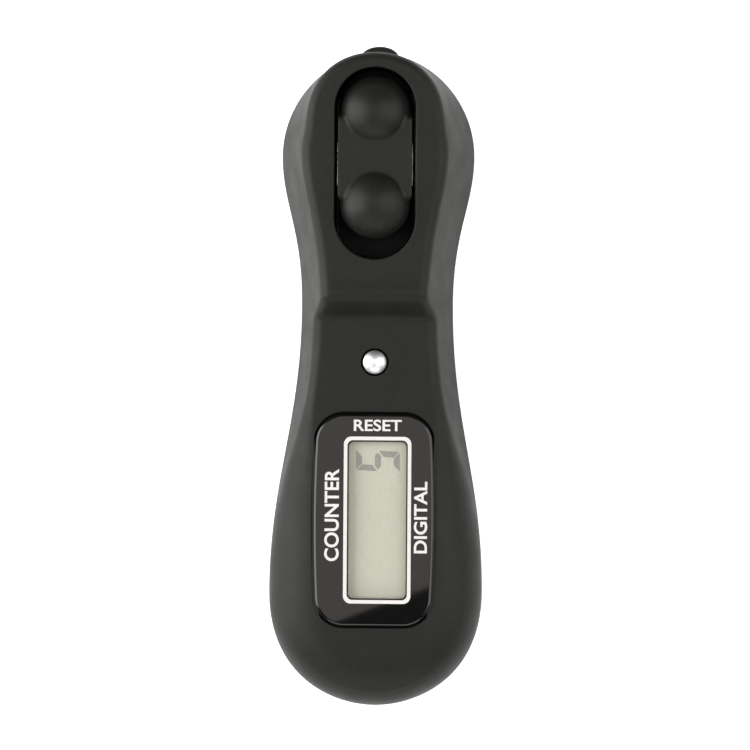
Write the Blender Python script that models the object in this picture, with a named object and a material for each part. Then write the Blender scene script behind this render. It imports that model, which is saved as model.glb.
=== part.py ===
"""Hand tally counter, lying on its back: +Z is the display side, +Y the head end.

Sizes are in millimetres and become metres as each mesh is made.
"""
import math

import bmesh
import bpy
import numpy as np
from mathutils import Matrix, Vector

MM = 0.001

# Clearances.
FIT = 0.1          # between glued or stacked pieces
RUN = 0.3          # around moving pieces
PIN_RUN = 0.1      # round the rocker pin
KEY_RUN = 0.15     # between a key and its switch plunger
SEAM_GAP = 0.2

# Casing heights above the surface it lies on.
SEAM_Z = 11.0
FACE_Z = 20.5
STEP_RISE = 4.2
RIDGE_RISE = 0.35
HEAD_RISE = 1.0
FACE_CROWN = 0.25
WALL = 2.0

# Casing walls and rounds.
BASE_LEAN = 0.05        # lean of the side walls, per unit of height, round the tail and the head's end
NECK_LEAN = 0.24        # what the neck and head add to it
FACE_CORNER = 1.3
BELLY_CORNER = 6.7      # what the belly adds to the front corner
BACK_CORNER = 7.5
BACK_LEAN = 0.08
CORNER_PULL = 0.56      # how far a corner's handles reach towards its peak
CORNER_TALL = 1.05
CORNER_SHARE = 0.8      # most of a wall's height that a corner takes
CORNER_INSET = 0.6      # how much smaller a corner is inside the wall, per unit of wall
CORNER_LEAST = 0.8

# Count rocker and the slot that it stands in.
ROCKER_Y = 35.7
DOME_R = 5.78
DOME_ARM = DOME_R + 1.74
DOME_SINK = 3.3
WEB_HALF = DOME_R + 0.57
WEB_REACH = DOME_ARM - 1.22
ROCKER_TOP = FACE_Z + STEP_RISE + 0.6
ROCKER_LOW = FACE_Z - 0.9
PIVOT_Z = FACE_Z + 0.7
PIN_R = 0.8
STEM_R = 1.2
SKIRT_THICK = 0.8  # plate round the rocker that closes the ends of its slot
SKIRT_LIFT = 0.1
SLOT_HALF = WEB_HALF + 0.28
SLOT_LOW_Y = ROCKER_Y - DOME_ARM - DOME_R - 3.4
SLOT_HIGH_Y = ROCKER_Y + DOME_ARM + DOME_R + 1.4
EAR_THICK = 1.6
EAR_HALF = 1.9
EAR_LOW = PIVOT_Z - 2.2

# Casing outline in plan: half of it, from the head's top end down to the tail.
HEAD_TOP_Y = SLOT_HIGH_Y + 3.2
HEAD_HALF = SLOT_HALF + 9.37
HEAD_Y = ROCKER_Y + 0.7
WAIST_HALF = 12.6
WAIST_Y = 11.8
BELLY_HALF = 17.75
BELLY_Y = -36.0
TAIL_Y = -55.0
HEAD_END_PULL = 8.6     # how far each Bezier handle of the outline reaches from its point
HEAD_PULL = 9.2
HEAD_LOW_PULL = 7.9
WAIST_PULL = 12.4
WAIST_LOW_PULL = 20.0
BELLY_PULL = 18.8
BELLY_LOW_PULL = 14.2
TAIL_PULL = 7.3

# Places along the casing where its face and walls change.
STEP_LOW_Y = WAIST_Y - 3.0
STEP_HIGH_Y = STEP_LOW_Y + 4.1
RIDGE_Y = STEP_HIGH_Y + 0.7
RIDGE_HALF = 1.5
DISH_Y = SLOT_LOW_Y
HEAD_FACE_Y = DISH_Y + 15.0
LEAN_LOW_Y = -34.0
LEAN_HIGH_Y = 40.0
ROUND_Y = -2.0
ROUND_RUN = 28.0

# Tact switches.
SWITCH_SIDE = 6.0
SWITCH_BASE_TALL = 3.3
SWITCH_COVER_THICK = 0.3
PLUNGER_R = 1.7
PLUNGER_TALL = 3.4
PRESS_TRAVEL = 0.5

# Reset button.
RESET_Y = 2.1
RESET_R = 1.95
RESET_PROUD = 1.0
RESET_COLLAR_R = RESET_R + 0.95
RESET_COLLAR_THICK = 0.4

# Twist-off battery cover, sized by the cell that it lets through.
CELL_Y = -32.0
CELL_R = 5.8
CELL_TALL = 5.4
COVER_HUB_R = CELL_R + 1.6
COVER_R = COVER_HUB_R + 1.6
COVER_FLANGE = 0.8
COVER_INSET = 0.25
COVER_TAB_R = COVER_HUB_R + 1.5
COVER_TAB_THICK = 0.7
COVER_TAB_HALF_DEG = 12.0
COVER_OPEN_DEG = 40.0
SEAT_THICK = 2.4
SEAT_WALL = 1.6
TAB_RUN = 0.2
COIN_SLOT_LONG = COVER_R + 1.0
COIN_SLOT_WIDE = 1.8
COIN_SLOT_DEEP = 0.55

# Button cell, its holder and its contacts.
CELL_LOW = SEAT_THICK + TAB_RUN + COVER_TAB_THICK + 0.2
HOLDER_WALL = 1.3
CONTACT_THICK = 0.3
CONTACT_WIDE = 3.4

# Circuit board, shared by all three switches, over the cell and its contact.
BOARD_THICK = 1.0
BOARD_TOP = CELL_LOW + CELL_TALL + 2.9 + BOARD_THICK
BOARD_HALF = WAIST_HALF - 4.1
BOARD_TAIL_Y = TAIL_Y + 10.2
BOARD_SHOULDER_Y = SLOT_LOW_Y - 1.0
BOARD_HEAD_Y = ROCKER_Y + DOME_ARM + SWITCH_SIDE / 2 + 1.38
PLUNGER_TOP = BOARD_TOP + 5.0

# Display.
BEZEL_Y = -23.9
WINDOW_X = 0.6
WINDOW_WIDE = 9.5
WINDOW_LONG = 25.8
WINDOW_THICK = 0.9
BEZEL_HALF = WINDOW_WIDE / 2 + WINDOW_X + 4.0
BEZEL_LONG_HALF = WINDOW_LONG / 2 + 4.55
BEZEL_CORNER = 4.4
BEZEL_BOW = 0.55
BEZEL_THICK = 1.3
BEZEL_PROUD = 0.3
BEZEL_EDGE = 0.35
GLASS_THICK = 0.9
GLASS_WIDE = WINDOW_WIDE + 3.3
GLASS_LONG = WINDOW_LONG + 4.6
GLASS_LEDGE = 1.7
REFLECTOR_THICK = 0.3
ZEBRA_WIDE = 1.3
ZEBRA_LONG = GLASS_LONG - 2.4
FRAME_WALL = 1.3
FRAME_RUN = 0.2

# Screws.
CASE_HEAD_R = 1.7
CASE_HEAD_TALL = 1.3
CASE_SHANK_R = 0.85
CASE_SHANK_LONG = 10.5
CASE_WELL_DEEP = 4.6
CASE_POST_R = 2.3
CASE_WELL_WALL = 0.95
BOARD_HEAD_R = 1.3
BOARD_HEAD_TALL = 0.9
BOARD_SHANK_R = 0.6
BOARD_SHANK_LONG = 4.2
BOARD_POST_R = 1.5
SUPPORT_R = 1.4

# Where the screws stand: (x, y) of each.
HEAD_SCREW_X = HEAD_HALF - 6.2
HEAD_SCREW_Y = HEAD_Y + 3.6
BOARD_HEAD_HALF = HEAD_SCREW_X - CASE_POST_R - 0.7
CASE_SCREWS = ((0.0, TAIL_Y + 6.6), (0.0, WAIST_Y + 0.6),
               (-HEAD_SCREW_X, HEAD_SCREW_Y), (HEAD_SCREW_X, HEAD_SCREW_Y))
TAIL_SCREW_X = BOARD_HALF - 3.0
TAIL_SCREW_Y = BOARD_TAIL_Y + 1.8
NECK_SCREW_X = BOARD_HALF - 1.9
NECK_SCREW_Y = WAIST_Y - 4.3
BOARD_SCREWS = ((-TAIL_SCREW_X, TAIL_SCREW_Y), (TAIL_SCREW_X, TAIL_SCREW_Y),
                (-NECK_SCREW_X, NECK_SCREW_Y), (NECK_SCREW_X, NECK_SCREW_Y))

# Small parts on the board.
CHIP_Y = RESET_Y - 15.1
CHIP_R = 3.6
CHIP_TALL = 1.12

# Lanyard lug.
LUG_HALF = 3.25
LUG_TIP_Y = HEAD_TOP_Y + 1.4
LUG_ROOT_Y = HEAD_TOP_Y - 2.2
LUG_SIDE = 1.4
LUG_SINK = 1.5
LUG_LOW_Z = 3.6
LUG_HIGH_Z = 8.6
LUG_HOLE_R = 0.85
LUG_HOLE_Y = HEAD_TOP_Y - 0.4

PAST = 1.0       # how far a cutter runs past what it cuts
ROUND = 32


def clear_scene():
    for thing in list(bpy.data.objects):
        bpy.data.objects.remove(thing, do_unlink=True)


def material(name, colour, roughness, metallic=0.0, alpha=1.0):
    mat = bpy.data.materials.new(name)
    mat.use_nodes = True
    shader = mat.node_tree.nodes["Principled BSDF"]
    shader.inputs["Base Color"].default_value = (*colour, 1.0)
    shader.inputs["Roughness"].default_value = roughness
    shader.inputs["Metallic"].default_value = metallic
    shader.inputs["Alpha"].default_value = alpha
    mat.diffuse_color = (*colour, alpha)
    return mat


def new_object(name, bm, mat=None, at=(0, 0, 0)):
    """Turn a millimetre bmesh, drawn about its own origin, into an object placed at a point."""
    bmesh.ops.remove_doubles(bm, verts=bm.verts, dist=0.0005)
    bmesh.ops.recalc_face_normals(bm, faces=bm.faces)
    bmesh.ops.scale(bm, vec=(MM, MM, MM), verts=bm.verts)
    mesh = bpy.data.meshes.new(name)
    bm.to_mesh(mesh)
    bm.free()
    mesh.shade_smooth()
    mesh.set_sharp_from_angle(angle=math.radians(35))
    thing = bpy.data.objects.new(name, mesh)
    thing.location = Vector(at) * MM
    bpy.context.scene.collection.objects.link(thing)
    if mat:
        mesh.materials.append(mat)
    return thing


def boolean(thing, other, operation="DIFFERENCE"):
    mod = thing.modifiers.new(other.name, "BOOLEAN")
    mod.operation = operation
    mod.object = other
    mod.solver = "EXACT"
    other.hide_render = True
    other.display_type = "WIRE"


def box(x0, x1, y0, y1, z0, z1):
    bm = bmesh.new()
    bmesh.ops.create_cube(bm, size=1.0)
    bmesh.ops.scale(bm, vec=(x1 - x0, y1 - y0, z1 - z0), verts=bm.verts)
    middle = ((x0 + x1) / 2, (y0 + y1) / 2, (z0 + z1) / 2)
    bmesh.ops.translate(bm, vec=middle, verts=bm.verts)
    return bm


def spun(bm, drawn, steps):
    """Spin a drawn profile a full turn, then turn it so that no corner lies on the centre plane."""
    centre = (0, 0, 0)
    bmesh.ops.spin(bm, geom=drawn, axis=(0, 0, 1), cent=centre, angle=math.tau, steps=steps, use_merge=True)
    off_plane = Matrix.Rotation(0.3 * math.tau / steps, 3, "Z")
    bmesh.ops.rotate(bm, cent=centre, matrix=off_plane, verts=bm.verts)
    return bm


def turned(profile, steps=ROUND):
    """Spin (radius, z) points about Z; the first and last are on the axis."""
    bm = bmesh.new()
    verts = [bm.verts.new((r, 0, z)) for r, z in profile]
    edges = [bm.edges.new(pair) for pair in zip(verts, verts[1:])]
    return spun(bm, verts + edges, steps)


def rod(radius, z0, z1, steps=ROUND):
    return turned([(0, z1), (radius, z1), (radius, z0), (0, z0)], steps)


def tube(inner, outer, z0, z1, steps=ROUND):
    bm = bmesh.new()
    profile = [(inner, z0), (outer, z0), (outer, z1), (inner, z1)]
    verts = [bm.verts.new((r, 0, z)) for r, z in profile]
    edges = [bm.edges.new((a, b)) for a, b in zip(verts, verts[1:] + verts[:1])]
    return spun(bm, verts + edges, steps)


def prism(points, z0, z1):
    """Extrude a closed outline in plan."""
    bm = bmesh.new()
    face = bm.faces.new([bm.verts.new((x, y, z0)) for x, y in points])
    grown = bmesh.ops.extrude_face_region(bm, geom=[face])
    top = [v for v in grown["geom"] if isinstance(v, bmesh.types.BMVert)]
    bmesh.ops.translate(bm, vec=(0, 0, z1 - z0), verts=top)
    return bm


def along_x(bm):
    """Lay a shape drawn about Z along X instead."""
    bmesh.ops.rotate(bm, cent=(0, 0, 0), matrix=Matrix.Rotation(math.pi / 2, 3, "Y"), verts=bm.verts)
    return bm


def cutter(name, bm, at=(0, 0, 0)):
    thing = new_object(name, bm, None, at)
    thing.hide_render = True
    thing.display_type = "WIRE"
    return thing


def bezier(a, b, c, d, t):
    t = t[:, None]
    return (1 - t) ** 3 * a + 3 * (1 - t) ** 2 * t * b + 3 * (1 - t) * t ** 2 * c + t ** 3 * d


def smooth(value):
    value = np.clip(value, 0.0, 1.0)
    return value * value * (3 - 2 * value)


def outline():
    """Right half of the plan outline as dense points, from the head's top to the tail."""
    knots = (
        ((0, HEAD_TOP_Y), (HEAD_END_PULL, HEAD_TOP_Y),
         (HEAD_HALF, HEAD_Y + HEAD_PULL), (HEAD_HALF, HEAD_Y)),
        ((HEAD_HALF, HEAD_Y), (HEAD_HALF, HEAD_Y - HEAD_LOW_PULL),
         (WAIST_HALF, WAIST_Y + WAIST_PULL), (WAIST_HALF, WAIST_Y)),
        ((WAIST_HALF, WAIST_Y), (WAIST_HALF, WAIST_Y - WAIST_LOW_PULL),
         (BELLY_HALF, BELLY_Y + BELLY_PULL), (BELLY_HALF, BELLY_Y)),
        ((BELLY_HALF, BELLY_Y), (BELLY_HALF, BELLY_Y - BELLY_LOW_PULL), (TAIL_PULL, TAIL_Y), (0, TAIL_Y)),
    )
    steps = np.linspace(0, 1, 120)
    runs = [bezier(*(np.array(p, float) for p in knot), steps) for knot in knots]
    return np.vstack([runs[0]] + [run[1:] for run in runs[1:]])


def outline_rows(spacing, step_spacing):
    """Outline points about spacing apart, closer at the step, with their inward normals."""
    points = outline()
    lengths = np.hypot(*np.diff(points, axis=0).T)
    middle = (points[1:, 1] + points[:-1, 1]) / 2
    near_step = (middle > STEP_LOW_Y - 2) & (middle < RIDGE_Y + RIDGE_HALF)
    density = lengths / np.where(near_step, step_spacing, spacing)
    travelled = np.concatenate([[0], np.cumsum(density)])
    picks = np.linspace(0, travelled[-1], int(round(travelled[-1])) + 1)
    rows = np.stack([np.interp(picks, travelled, points[:, axis]) for axis in (0, 1)], axis=1)
    rows[0, 0] = rows[-1, 0] = 0.0
    slope = np.gradient(points, axis=0)
    slope = np.stack([np.interp(picks, travelled, slope[:, axis]) for axis in (0, 1)], axis=1)
    slope /= np.linalg.norm(slope, axis=1)[:, None]
    inward = np.stack([slope[:, 1], -slope[:, 0]], axis=1)
    inward[0] = (0, -1)
    inward[-1] = (0, 1)
    return rows, inward


def face_height(x, y):
    """Height of the front face: neck level, the step up, the ridge and the head's slow rise."""
    z = FACE_Z + STEP_RISE * smooth((y - STEP_LOW_Y) / (STEP_HIGH_Y - STEP_LOW_Y))
    z = z + HEAD_RISE * smooth((y - DISH_Y) / (HEAD_FACE_Y - DISH_Y))
    z = z + RIDGE_RISE * np.exp(-((y - RIDGE_Y) / RIDGE_HALF) ** 2)
    return z - FACE_CROWN * (x / 10) ** 2


def front_lean(y):
    """How far the front side walls lean in, per unit of height."""
    lean = BASE_LEAN + NECK_LEAN * smooth((y - LEAN_LOW_Y) / -LEAN_LOW_Y)
    return lean - NECK_LEAN * smooth((y - LEAN_HIGH_Y) / (HEAD_TOP_Y - LEAN_HIGH_Y))


def front_corner(y):
    """Size of the round between the side wall and the front face."""
    return FACE_CORNER + BELLY_CORNER * smooth((ROUND_Y - y) / ROUND_RUN)


def section(point, side, shrink):
    """Corners of a half section as (inset, height from the seam): seam, round's foot, peak, round's end."""
    y = point[1]
    if side == "front":
        lean = front_lean(y)
        corner = max(front_corner(y) - CORNER_INSET * shrink, CORNER_LEAST)
        rise = float(face_height(0, y)) - shrink - SEAM_Z
    else:
        lean = BACK_LEAN
        corner = BACK_CORNER - CORNER_INSET * shrink
        rise = SEAM_Z - shrink
    tall = min(corner * CORNER_TALL, rise * CORNER_SHARE)
    seam = np.array([shrink, 0.0])
    peak = np.array([shrink + lean * rise, rise])
    foot = np.array([shrink + lean * (rise - tall), rise - tall])
    shelf = np.array([peak[0] + corner, rise])
    return seam, foot, peak, shelf


def casing_loft(side, shrink, spacing, step_spacing, columns, seam_z):
    """Closed solid of one casing half: walls, round and face, cut flat at the seam."""
    walls, rounds, across = columns
    rows, inward = outline_rows(spacing, step_spacing)
    bm = bmesh.new()
    grid = []
    for point, normal in zip(rows, inward):
        seam, foot, peak, shelf = section(point, side, shrink)
        straight = [seam + (foot - seam) * t for t in np.linspace(0, 1, walls + 1)]
        rise_handle = foot + (peak - foot) * CORNER_PULL
        face_handle = shelf + (peak - shelf) * CORNER_PULL
        curve = bezier(foot, rise_handle, face_handle, shelf, np.linspace(0, 1, rounds + 1))[1:]
        half = []
        for inset, high in list(straight) + list(curve):
            x, y = point + normal * inset
            if side == "front":
                drop = FACE_CROWN * (x / 10) ** 2 * high / peak[1]
                local = face_height(0.0, y) - face_height(0.0, point[1])
                z = SEAM_Z + high + local * high / peak[1] - drop
            else:
                z = SEAM_Z - high
            half.append((x, y, z))
        edge_x, edge_y, edge_z = half[-1]
        for t in np.linspace(1, 0, across + 1)[1:]:
            x = edge_x * t
            z = face_height(x, edge_y) - shrink if side == "front" else edge_z
            half.append((x, edge_y, z))
        half[0] = (half[0][0], half[0][1], seam_z)
        row = half + [(-x, y, z) for x, y, z in half[-2::-1]]
        grid.append([bm.verts.new(p) for p in row])
    last = len(grid[0]) - 1
    for upper, lower in zip(grid, grid[1:]):
        for j in range(last):
            bm.faces.new((upper[j], upper[j + 1], lower[j + 1], lower[j]))
        bm.faces.new((upper[last], upper[0], lower[0], lower[last]))
    bmesh.ops.remove_doubles(bm, verts=bm.verts, dist=0.0005)
    return bm


def post(name, x, y, radius, z0, z1):
    return cutter(name, rod(radius, z0, z1, 20), (x, y, 0))


def obround(half, low, high, steps=12):
    """Outline with straight sides along Y and round ends."""
    points = []
    for i in range(steps + 1):
        angle = math.pi * i / steps
        points.append((half * math.cos(angle), high - half + half * math.sin(angle)))
    for i in range(steps + 1):
        angle = math.pi + math.pi * i / steps
        points.append((half * math.cos(angle), low + half + half * math.sin(angle)))
    return points


def bezel_outline(grow=0.0, steps=6):
    """Barrel-sided rectangle with round corners, about the bezel's centre."""
    half = BEZEL_HALF + grow
    long_half = BEZEL_LONG_HALF + grow
    corner = BEZEL_CORNER + grow
    points = []
    for sx, sy, start in ((1, 1, 0), (-1, 1, 90), (-1, -1, 180), (1, -1, 270)):
        for i in range(steps + 1):
            angle = math.radians(start + 90 * i / steps)
            x = sx * (half - corner) + corner * math.cos(angle)
            y = sy * (long_half - corner) + corner * math.sin(angle)
            points.append((x, y))
        if sx * sy < 0:
            reach = (long_half - corner) * sy
            points += [(sx * half, reach * (1 - 2 * t)) for t in (0.2, 0.4, 0.6, 0.8)]
    return [(x + math.copysign(BEZEL_BOW, x) * (1 - (y / long_half) ** 2), y) for x, y in points]


def bezel_floor():
    return FACE_Z + BEZEL_PROUD - BEZEL_THICK - FIT


def glass_top():
    return bezel_floor() - FIT


def board_low():
    return BOARD_TOP - BOARD_THICK


def front_shell(mats):
    """Front half: solid loft less a cavity that leaves the posts and the pivot ears standing."""
    shell = new_object("front_shell", casing_loft("front", 0.0, 3.2, 1.1, (2, 4, 2), SEAM_Z + SEAM_GAP / 2),
                       mats["casing"])
    cavity = cutter("front_cavity", casing_loft("front", WALL, 5.0, 1.6, (1, 2, 1), SEAM_Z - PAST))
    tall = ROCKER_TOP + 10 * PAST
    for i, (x, y) in enumerate(CASE_SCREWS):
        boolean(cavity, post(f"front_post_{i}", x, y, CASE_POST_R, SEAM_Z - 2 * PAST, tall))
    for i, (x, y) in enumerate(BOARD_SCREWS):
        boolean(cavity, post(f"board_post_{i}", x, y, BOARD_POST_R, BOARD_TOP + FIT, tall))
    for sx in (-1, 1):
        x0 = sx * (SLOT_HALF + RUN)
        x1 = x0 + sx * EAR_THICK
        ear = box(min(x0, x1), max(x0, x1), ROCKER_Y - EAR_HALF, ROCKER_Y + EAR_HALF, EAR_LOW, tall)
        boolean(cavity, cutter(f"pivot_ear_{sx}", ear))
    boolean(shell, cavity)
    slot = prism(obround(SLOT_HALF, SLOT_LOW_Y, SLOT_HIGH_Y), FACE_Z - PAST, tall)
    boolean(shell, cutter("rocker_slot", slot))
    recess = prism(bezel_outline(BEZEL_EDGE), bezel_floor(), tall)
    boolean(shell, cutter("bezel_recess", recess, (0, BEZEL_Y, 0)))
    half_wide = GLASS_WIDE / 2 + RUN
    half_long = GLASS_LONG / 2 + RUN
    opening = box(-half_wide, half_wide, -half_long, half_long, FACE_Z - WALL - PAST, tall)
    boolean(shell, cutter("display_opening", opening, (0, BEZEL_Y, 0)))
    boolean(shell, cutter("reset_hole", rod(RESET_R + RUN, SEAM_Z, tall), (0, RESET_Y, 0)))
    for i, (x, y) in enumerate(CASE_SCREWS):
        bore = rod(CASE_SHANK_R + FIT, SEAM_Z - 2 * PAST, CASE_WELL_DEEP + CASE_SHANK_LONG + RUN, 20)
        boolean(shell, cutter(f"case_bore_{i}", bore, (x, y, 0)))
    for i, (x, y) in enumerate(BOARD_SCREWS):
        bore = rod(BOARD_SHANK_R + FIT, SEAM_Z, board_low() + BOARD_SHANK_LONG + RUN, 16)
        boolean(shell, cutter(f"board_bore_{i}", bore, (x, y, 0)))
    pin_length = 2 * (SLOT_HALF + RUN + EAR_THICK + PAST)
    pin_bore = along_x(rod(PIN_R + PIN_RUN, -pin_length / 2, pin_length / 2, 24))
    boolean(shell, cutter("pin_bore", pin_bore, (0, ROCKER_Y, PIVOT_Z)))
    return shell


def lug_outline(steps=10):
    """Dome-shaped tab: straight sides at its root, a round tip."""
    shoulder = LUG_ROOT_Y + LUG_SIDE
    points = [(LUG_HALF, LUG_ROOT_Y - LUG_SINK), (LUG_HALF, shoulder)]
    rise = LUG_TIP_Y - shoulder
    for i in range(1, steps):
        angle = math.pi * i / steps
        points.append((LUG_HALF * math.cos(angle), shoulder + rise * math.sin(angle) ** 0.9))
    return points + [(-LUG_HALF, shoulder), (-LUG_HALF, LUG_ROOT_Y - LUG_SINK)]


def back_shell(mats):
    """Back half: solid loft less its cavity, with screw wells, cover seat, supports and the lug."""
    shell = new_object("back_shell", casing_loft("back", 0.0, 3.4, 3.4, (1, 4, 1), SEAM_Z - SEAM_GAP / 2),
                       mats["casing"])
    cavity = cutter("back_cavity", casing_loft("back", WALL, 5.0, 5.0, (1, 2, 1), SEAM_Z + PAST))
    for i, (x, y) in enumerate(CASE_SCREWS):
        well_r = CASE_HEAD_R + RUN + CASE_WELL_WALL
        boolean(cavity, post(f"back_post_{i}", x, y, well_r, -PAST, SEAM_Z + 2 * PAST))
    seat = rod(COVER_R + SEAT_WALL, -PAST, SEAT_THICK)
    boolean(cavity, cutter("cover_seat", seat, (0, CELL_Y, 0)))
    boolean(shell, cavity)
    boolean(shell, cutter("lug", prism(lug_outline(), LUG_LOW_Z, LUG_HIGH_Z)), "UNION")
    for i, (x, y) in enumerate(switch_places()):
        support = rod(SUPPORT_R, WALL / 2, board_low() - FIT, 16)
        boolean(shell, cutter(f"support_{i}", support, (x, y, 0)), "UNION")
    eye = along_x(rod(LUG_HOLE_R, -LUG_HALF - PAST, LUG_HALF + PAST, 20))
    boolean(shell, cutter("lug_eye", eye, (0, LUG_HOLE_Y, (LUG_LOW_Z + LUG_HIGH_Z) / 2)))
    for i, (x, y) in enumerate(CASE_SCREWS):
        well = rod(CASE_HEAD_R + RUN, -PAST, CASE_WELL_DEEP, 24)
        boolean(shell, cutter(f"case_well_{i}", well, (x, y, 0)))
        bore = rod(CASE_SHANK_R + RUN, CASE_WELL_DEEP - PAST, SEAM_Z + PAST, 20)
        boolean(shell, cutter(f"back_bore_{i}", bore, (x, y, 0)))
    flange_seat = rod(COVER_R + RUN, -PAST, COVER_INSET + COVER_FLANGE + FIT, 48)
    boolean(shell, cutter("cover_recess", flange_seat, (0, CELL_Y, 0)))
    notch_half_deg = COVER_TAB_HALF_DEG + 3
    notched = bayonet_outline(COVER_HUB_R + RUN, COVER_TAB_R + RUN, notch_half_deg, 90 + COVER_OPEN_DEG)
    boolean(shell, cutter("cover_hole", prism(notched, -PAST, SEAT_THICK + PAST), (0, CELL_Y, 0)))
    return shell


def bayonet_outline(hub, tab, half_deg, turn):
    """Disc of the hub's radius with two opposite tabs, the first turned from +X by turn degrees."""
    points = []
    for centre in (turn, turn + 180):
        for i in range(7):
            angle = math.radians(centre + half_deg * (i / 3 - 1))
            points.append((tab * math.cos(angle), tab * math.sin(angle)))
        for i in range(19):
            angle = math.radians(centre + half_deg + (180 - 2 * half_deg) * i / 18)
            points.append((hub * math.cos(angle), hub * math.sin(angle)))
    return points


def battery_cover(mats):
    """Round cover with a coin slot, a hub and two bayonet tabs, its origin on its own axis."""
    flange_top = COVER_INSET + COVER_FLANGE
    tab_low = SEAT_THICK + TAB_RUN
    tab_high = tab_low + COVER_TAB_THICK
    bevel = COVER_FLANGE / 4
    profile = [(0, tab_high), (COVER_HUB_R, tab_high), (COVER_HUB_R, flange_top), (COVER_R, flange_top),
               (COVER_R, COVER_INSET + bevel), (COVER_R - bevel, COVER_INSET), (0, COVER_INSET)]
    cover = new_object("battery_cover", turned(profile, 48), mats["casing"], (0, CELL_Y, 0))
    tabs = bayonet_outline(COVER_HUB_R - 0.2, COVER_TAB_R, COVER_TAB_HALF_DEG, 90)
    boolean(cover, cutter("cover_tabs", prism(tabs, tab_low, tab_high + 0.05), (0, CELL_Y, 0)), "UNION")
    half = COIN_SLOT_LONG / 2
    lying = [(y, x) for x, y in obround(COIN_SLOT_WIDE / 2, -half, half, 6)]
    slot = prism(lying, -PAST, COVER_INSET + COIN_SLOT_DEEP)
    boolean(cover, cutter("coin_slot", slot, (0, CELL_Y, 0)))
    return cover


def button_cell(mats):
    """Can with a rounded lower edge and a narrower cap on top."""
    top = CELL_LOW + CELL_TALL
    profile = [(0, top), (CELL_R * 0.8, top), (CELL_R * 0.84, top - 0.25), (CELL_R * 0.84, top - 0.9),
               (CELL_R - 0.25, top - 1.0), (CELL_R, top - 1.3), (CELL_R, CELL_LOW + 0.3),
               (CELL_R - 0.3, CELL_LOW), (0, CELL_LOW)]
    return new_object("button_cell", turned(profile), mats["steel"], (0, CELL_Y, 0))


def battery_holder(mats):
    """Ring under the board that keeps the cell over its cover, open on one side for a contact."""
    inner = CELL_R + RUN
    ring = tube(inner, inner + HOLDER_WALL, CELL_LOW + RUN, board_low() - FIT)
    holder = new_object("battery_holder", ring, mats["nylon"], (0, CELL_Y, 0))
    half = CONTACT_WIDE / 2 + RUN
    notch = box(CELL_R - PAST, inner + HOLDER_WALL + PAST, -half, half, 0, BOARD_TOP)
    boolean(holder, cutter("holder_notch", notch, (0, CELL_Y, 0)))
    return holder


def strip(points, thickness, wide):
    """Bent strip: a flat path in X and Z, thickened to one side, standing wide along Y."""
    path = [Vector((x, z)) for x, z in points]
    sides = []
    for i, here in enumerate(path):
        before = (here - path[i - 1]).normalized() if i else None
        after = (path[i + 1] - here).normalized() if i < len(path) - 1 else None
        first = before or after
        second = after or before
        normal = Vector((-first.y, first.x)) + Vector((-second.y, second.x))
        normal.normalize()
        stretch = normal.dot(Vector((-first.y, first.x)))
        sides.append(here + normal * (thickness / stretch))
    ring = [(p.x, p.y) for p in path] + [(p.x, p.y) for p in reversed(sides)]
    bm = prism(ring, -wide / 2, wide / 2)
    bmesh.ops.rotate(bm, cent=(0, 0, 0), matrix=Matrix.Rotation(math.pi / 2, 3, "X"), verts=bm.verts)
    return bm


def battery_contacts(mats):
    """Sprung leaf above the cell and an upright leaf at its side, both from the board."""
    under = board_low() - FIT
    cell_top = CELL_LOW + CELL_TALL
    reach = CELL_R / 2
    leaf = [(-reach, under - CONTACT_THICK), (reach - 0.3, under - CONTACT_THICK),
            (reach + 0.5, under - CONTACT_THICK - 0.5), (-reach, cell_top + CONTACT_THICK + 0.2)]
    new_object("contact_negative", strip(leaf, CONTACT_THICK, CONTACT_WIDE), mats["nickel"], (0, CELL_Y, 0))
    side = CELL_R + 0.25
    foot = CELL_R + RUN + HOLDER_WALL + 1.6
    upright = [(foot, under - CONTACT_THICK), (side + CONTACT_THICK, under - CONTACT_THICK),
               (side + CONTACT_THICK, CELL_LOW + 1.4)]
    side_leaf = strip(upright[::-1], CONTACT_THICK, CONTACT_WIDE)
    new_object("contact_positive", side_leaf, mats["nickel"], (0, CELL_Y, 0))


def switch_places():
    return ((0.0, ROCKER_Y + DOME_ARM), (0.0, ROCKER_Y - DOME_ARM), (0.0, RESET_Y))


def count_rocker(mats):
    """Web and two domed pads, with its origin on the pivot."""
    top = ROCKER_TOP - PIVOT_Z
    low = ROCKER_LOW - PIVOT_Z
    rocker = new_object("count_rocker", box(-WEB_HALF, WEB_HALF, -WEB_REACH, WEB_REACH, low, top),
                        mats["rocker"], (0, ROCKER_Y, PIVOT_Z))
    centre = top - DOME_SINK
    dome = []
    for i in range(8):
        angle = math.pi / 2 * (1 - i / 7)
        dome.append((DOME_R * math.cos(angle) if i else 0.0, centre + DOME_R * math.sin(angle)))
    dome += [(DOME_R, low), (0, low)]
    stem_low = PLUNGER_TOP + KEY_RUN - PIVOT_Z
    for name, arm in (("up", DOME_ARM), ("down", -DOME_ARM)):
        place = (0, ROCKER_Y + arm, PIVOT_Z)
        boolean(rocker, cutter(f"{name}_dome", turned(dome, 26), place), "UNION")
        boolean(rocker, cutter(f"{name}_stem", rod(STEM_R, stem_low, low + PAST, 16), place), "UNION")
    skirt_low = low + SKIRT_LIFT
    ring = obround(WEB_HALF - FIT, SLOT_LOW_Y + RUN, SLOT_HIGH_Y - RUN)
    skirt = prism(ring, skirt_low, skirt_low + SKIRT_THICK)
    boolean(rocker, cutter("rocker_skirt", skirt, (0, 0, PIVOT_Z)), "UNION")
    bore = along_x(rod(PIN_R + PIN_RUN, -WEB_HALF - PAST, WEB_HALF + PAST, 24))
    boolean(rocker, cutter("rocker_bore", bore, (0, ROCKER_Y, PIVOT_Z)))
    return rocker


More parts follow.
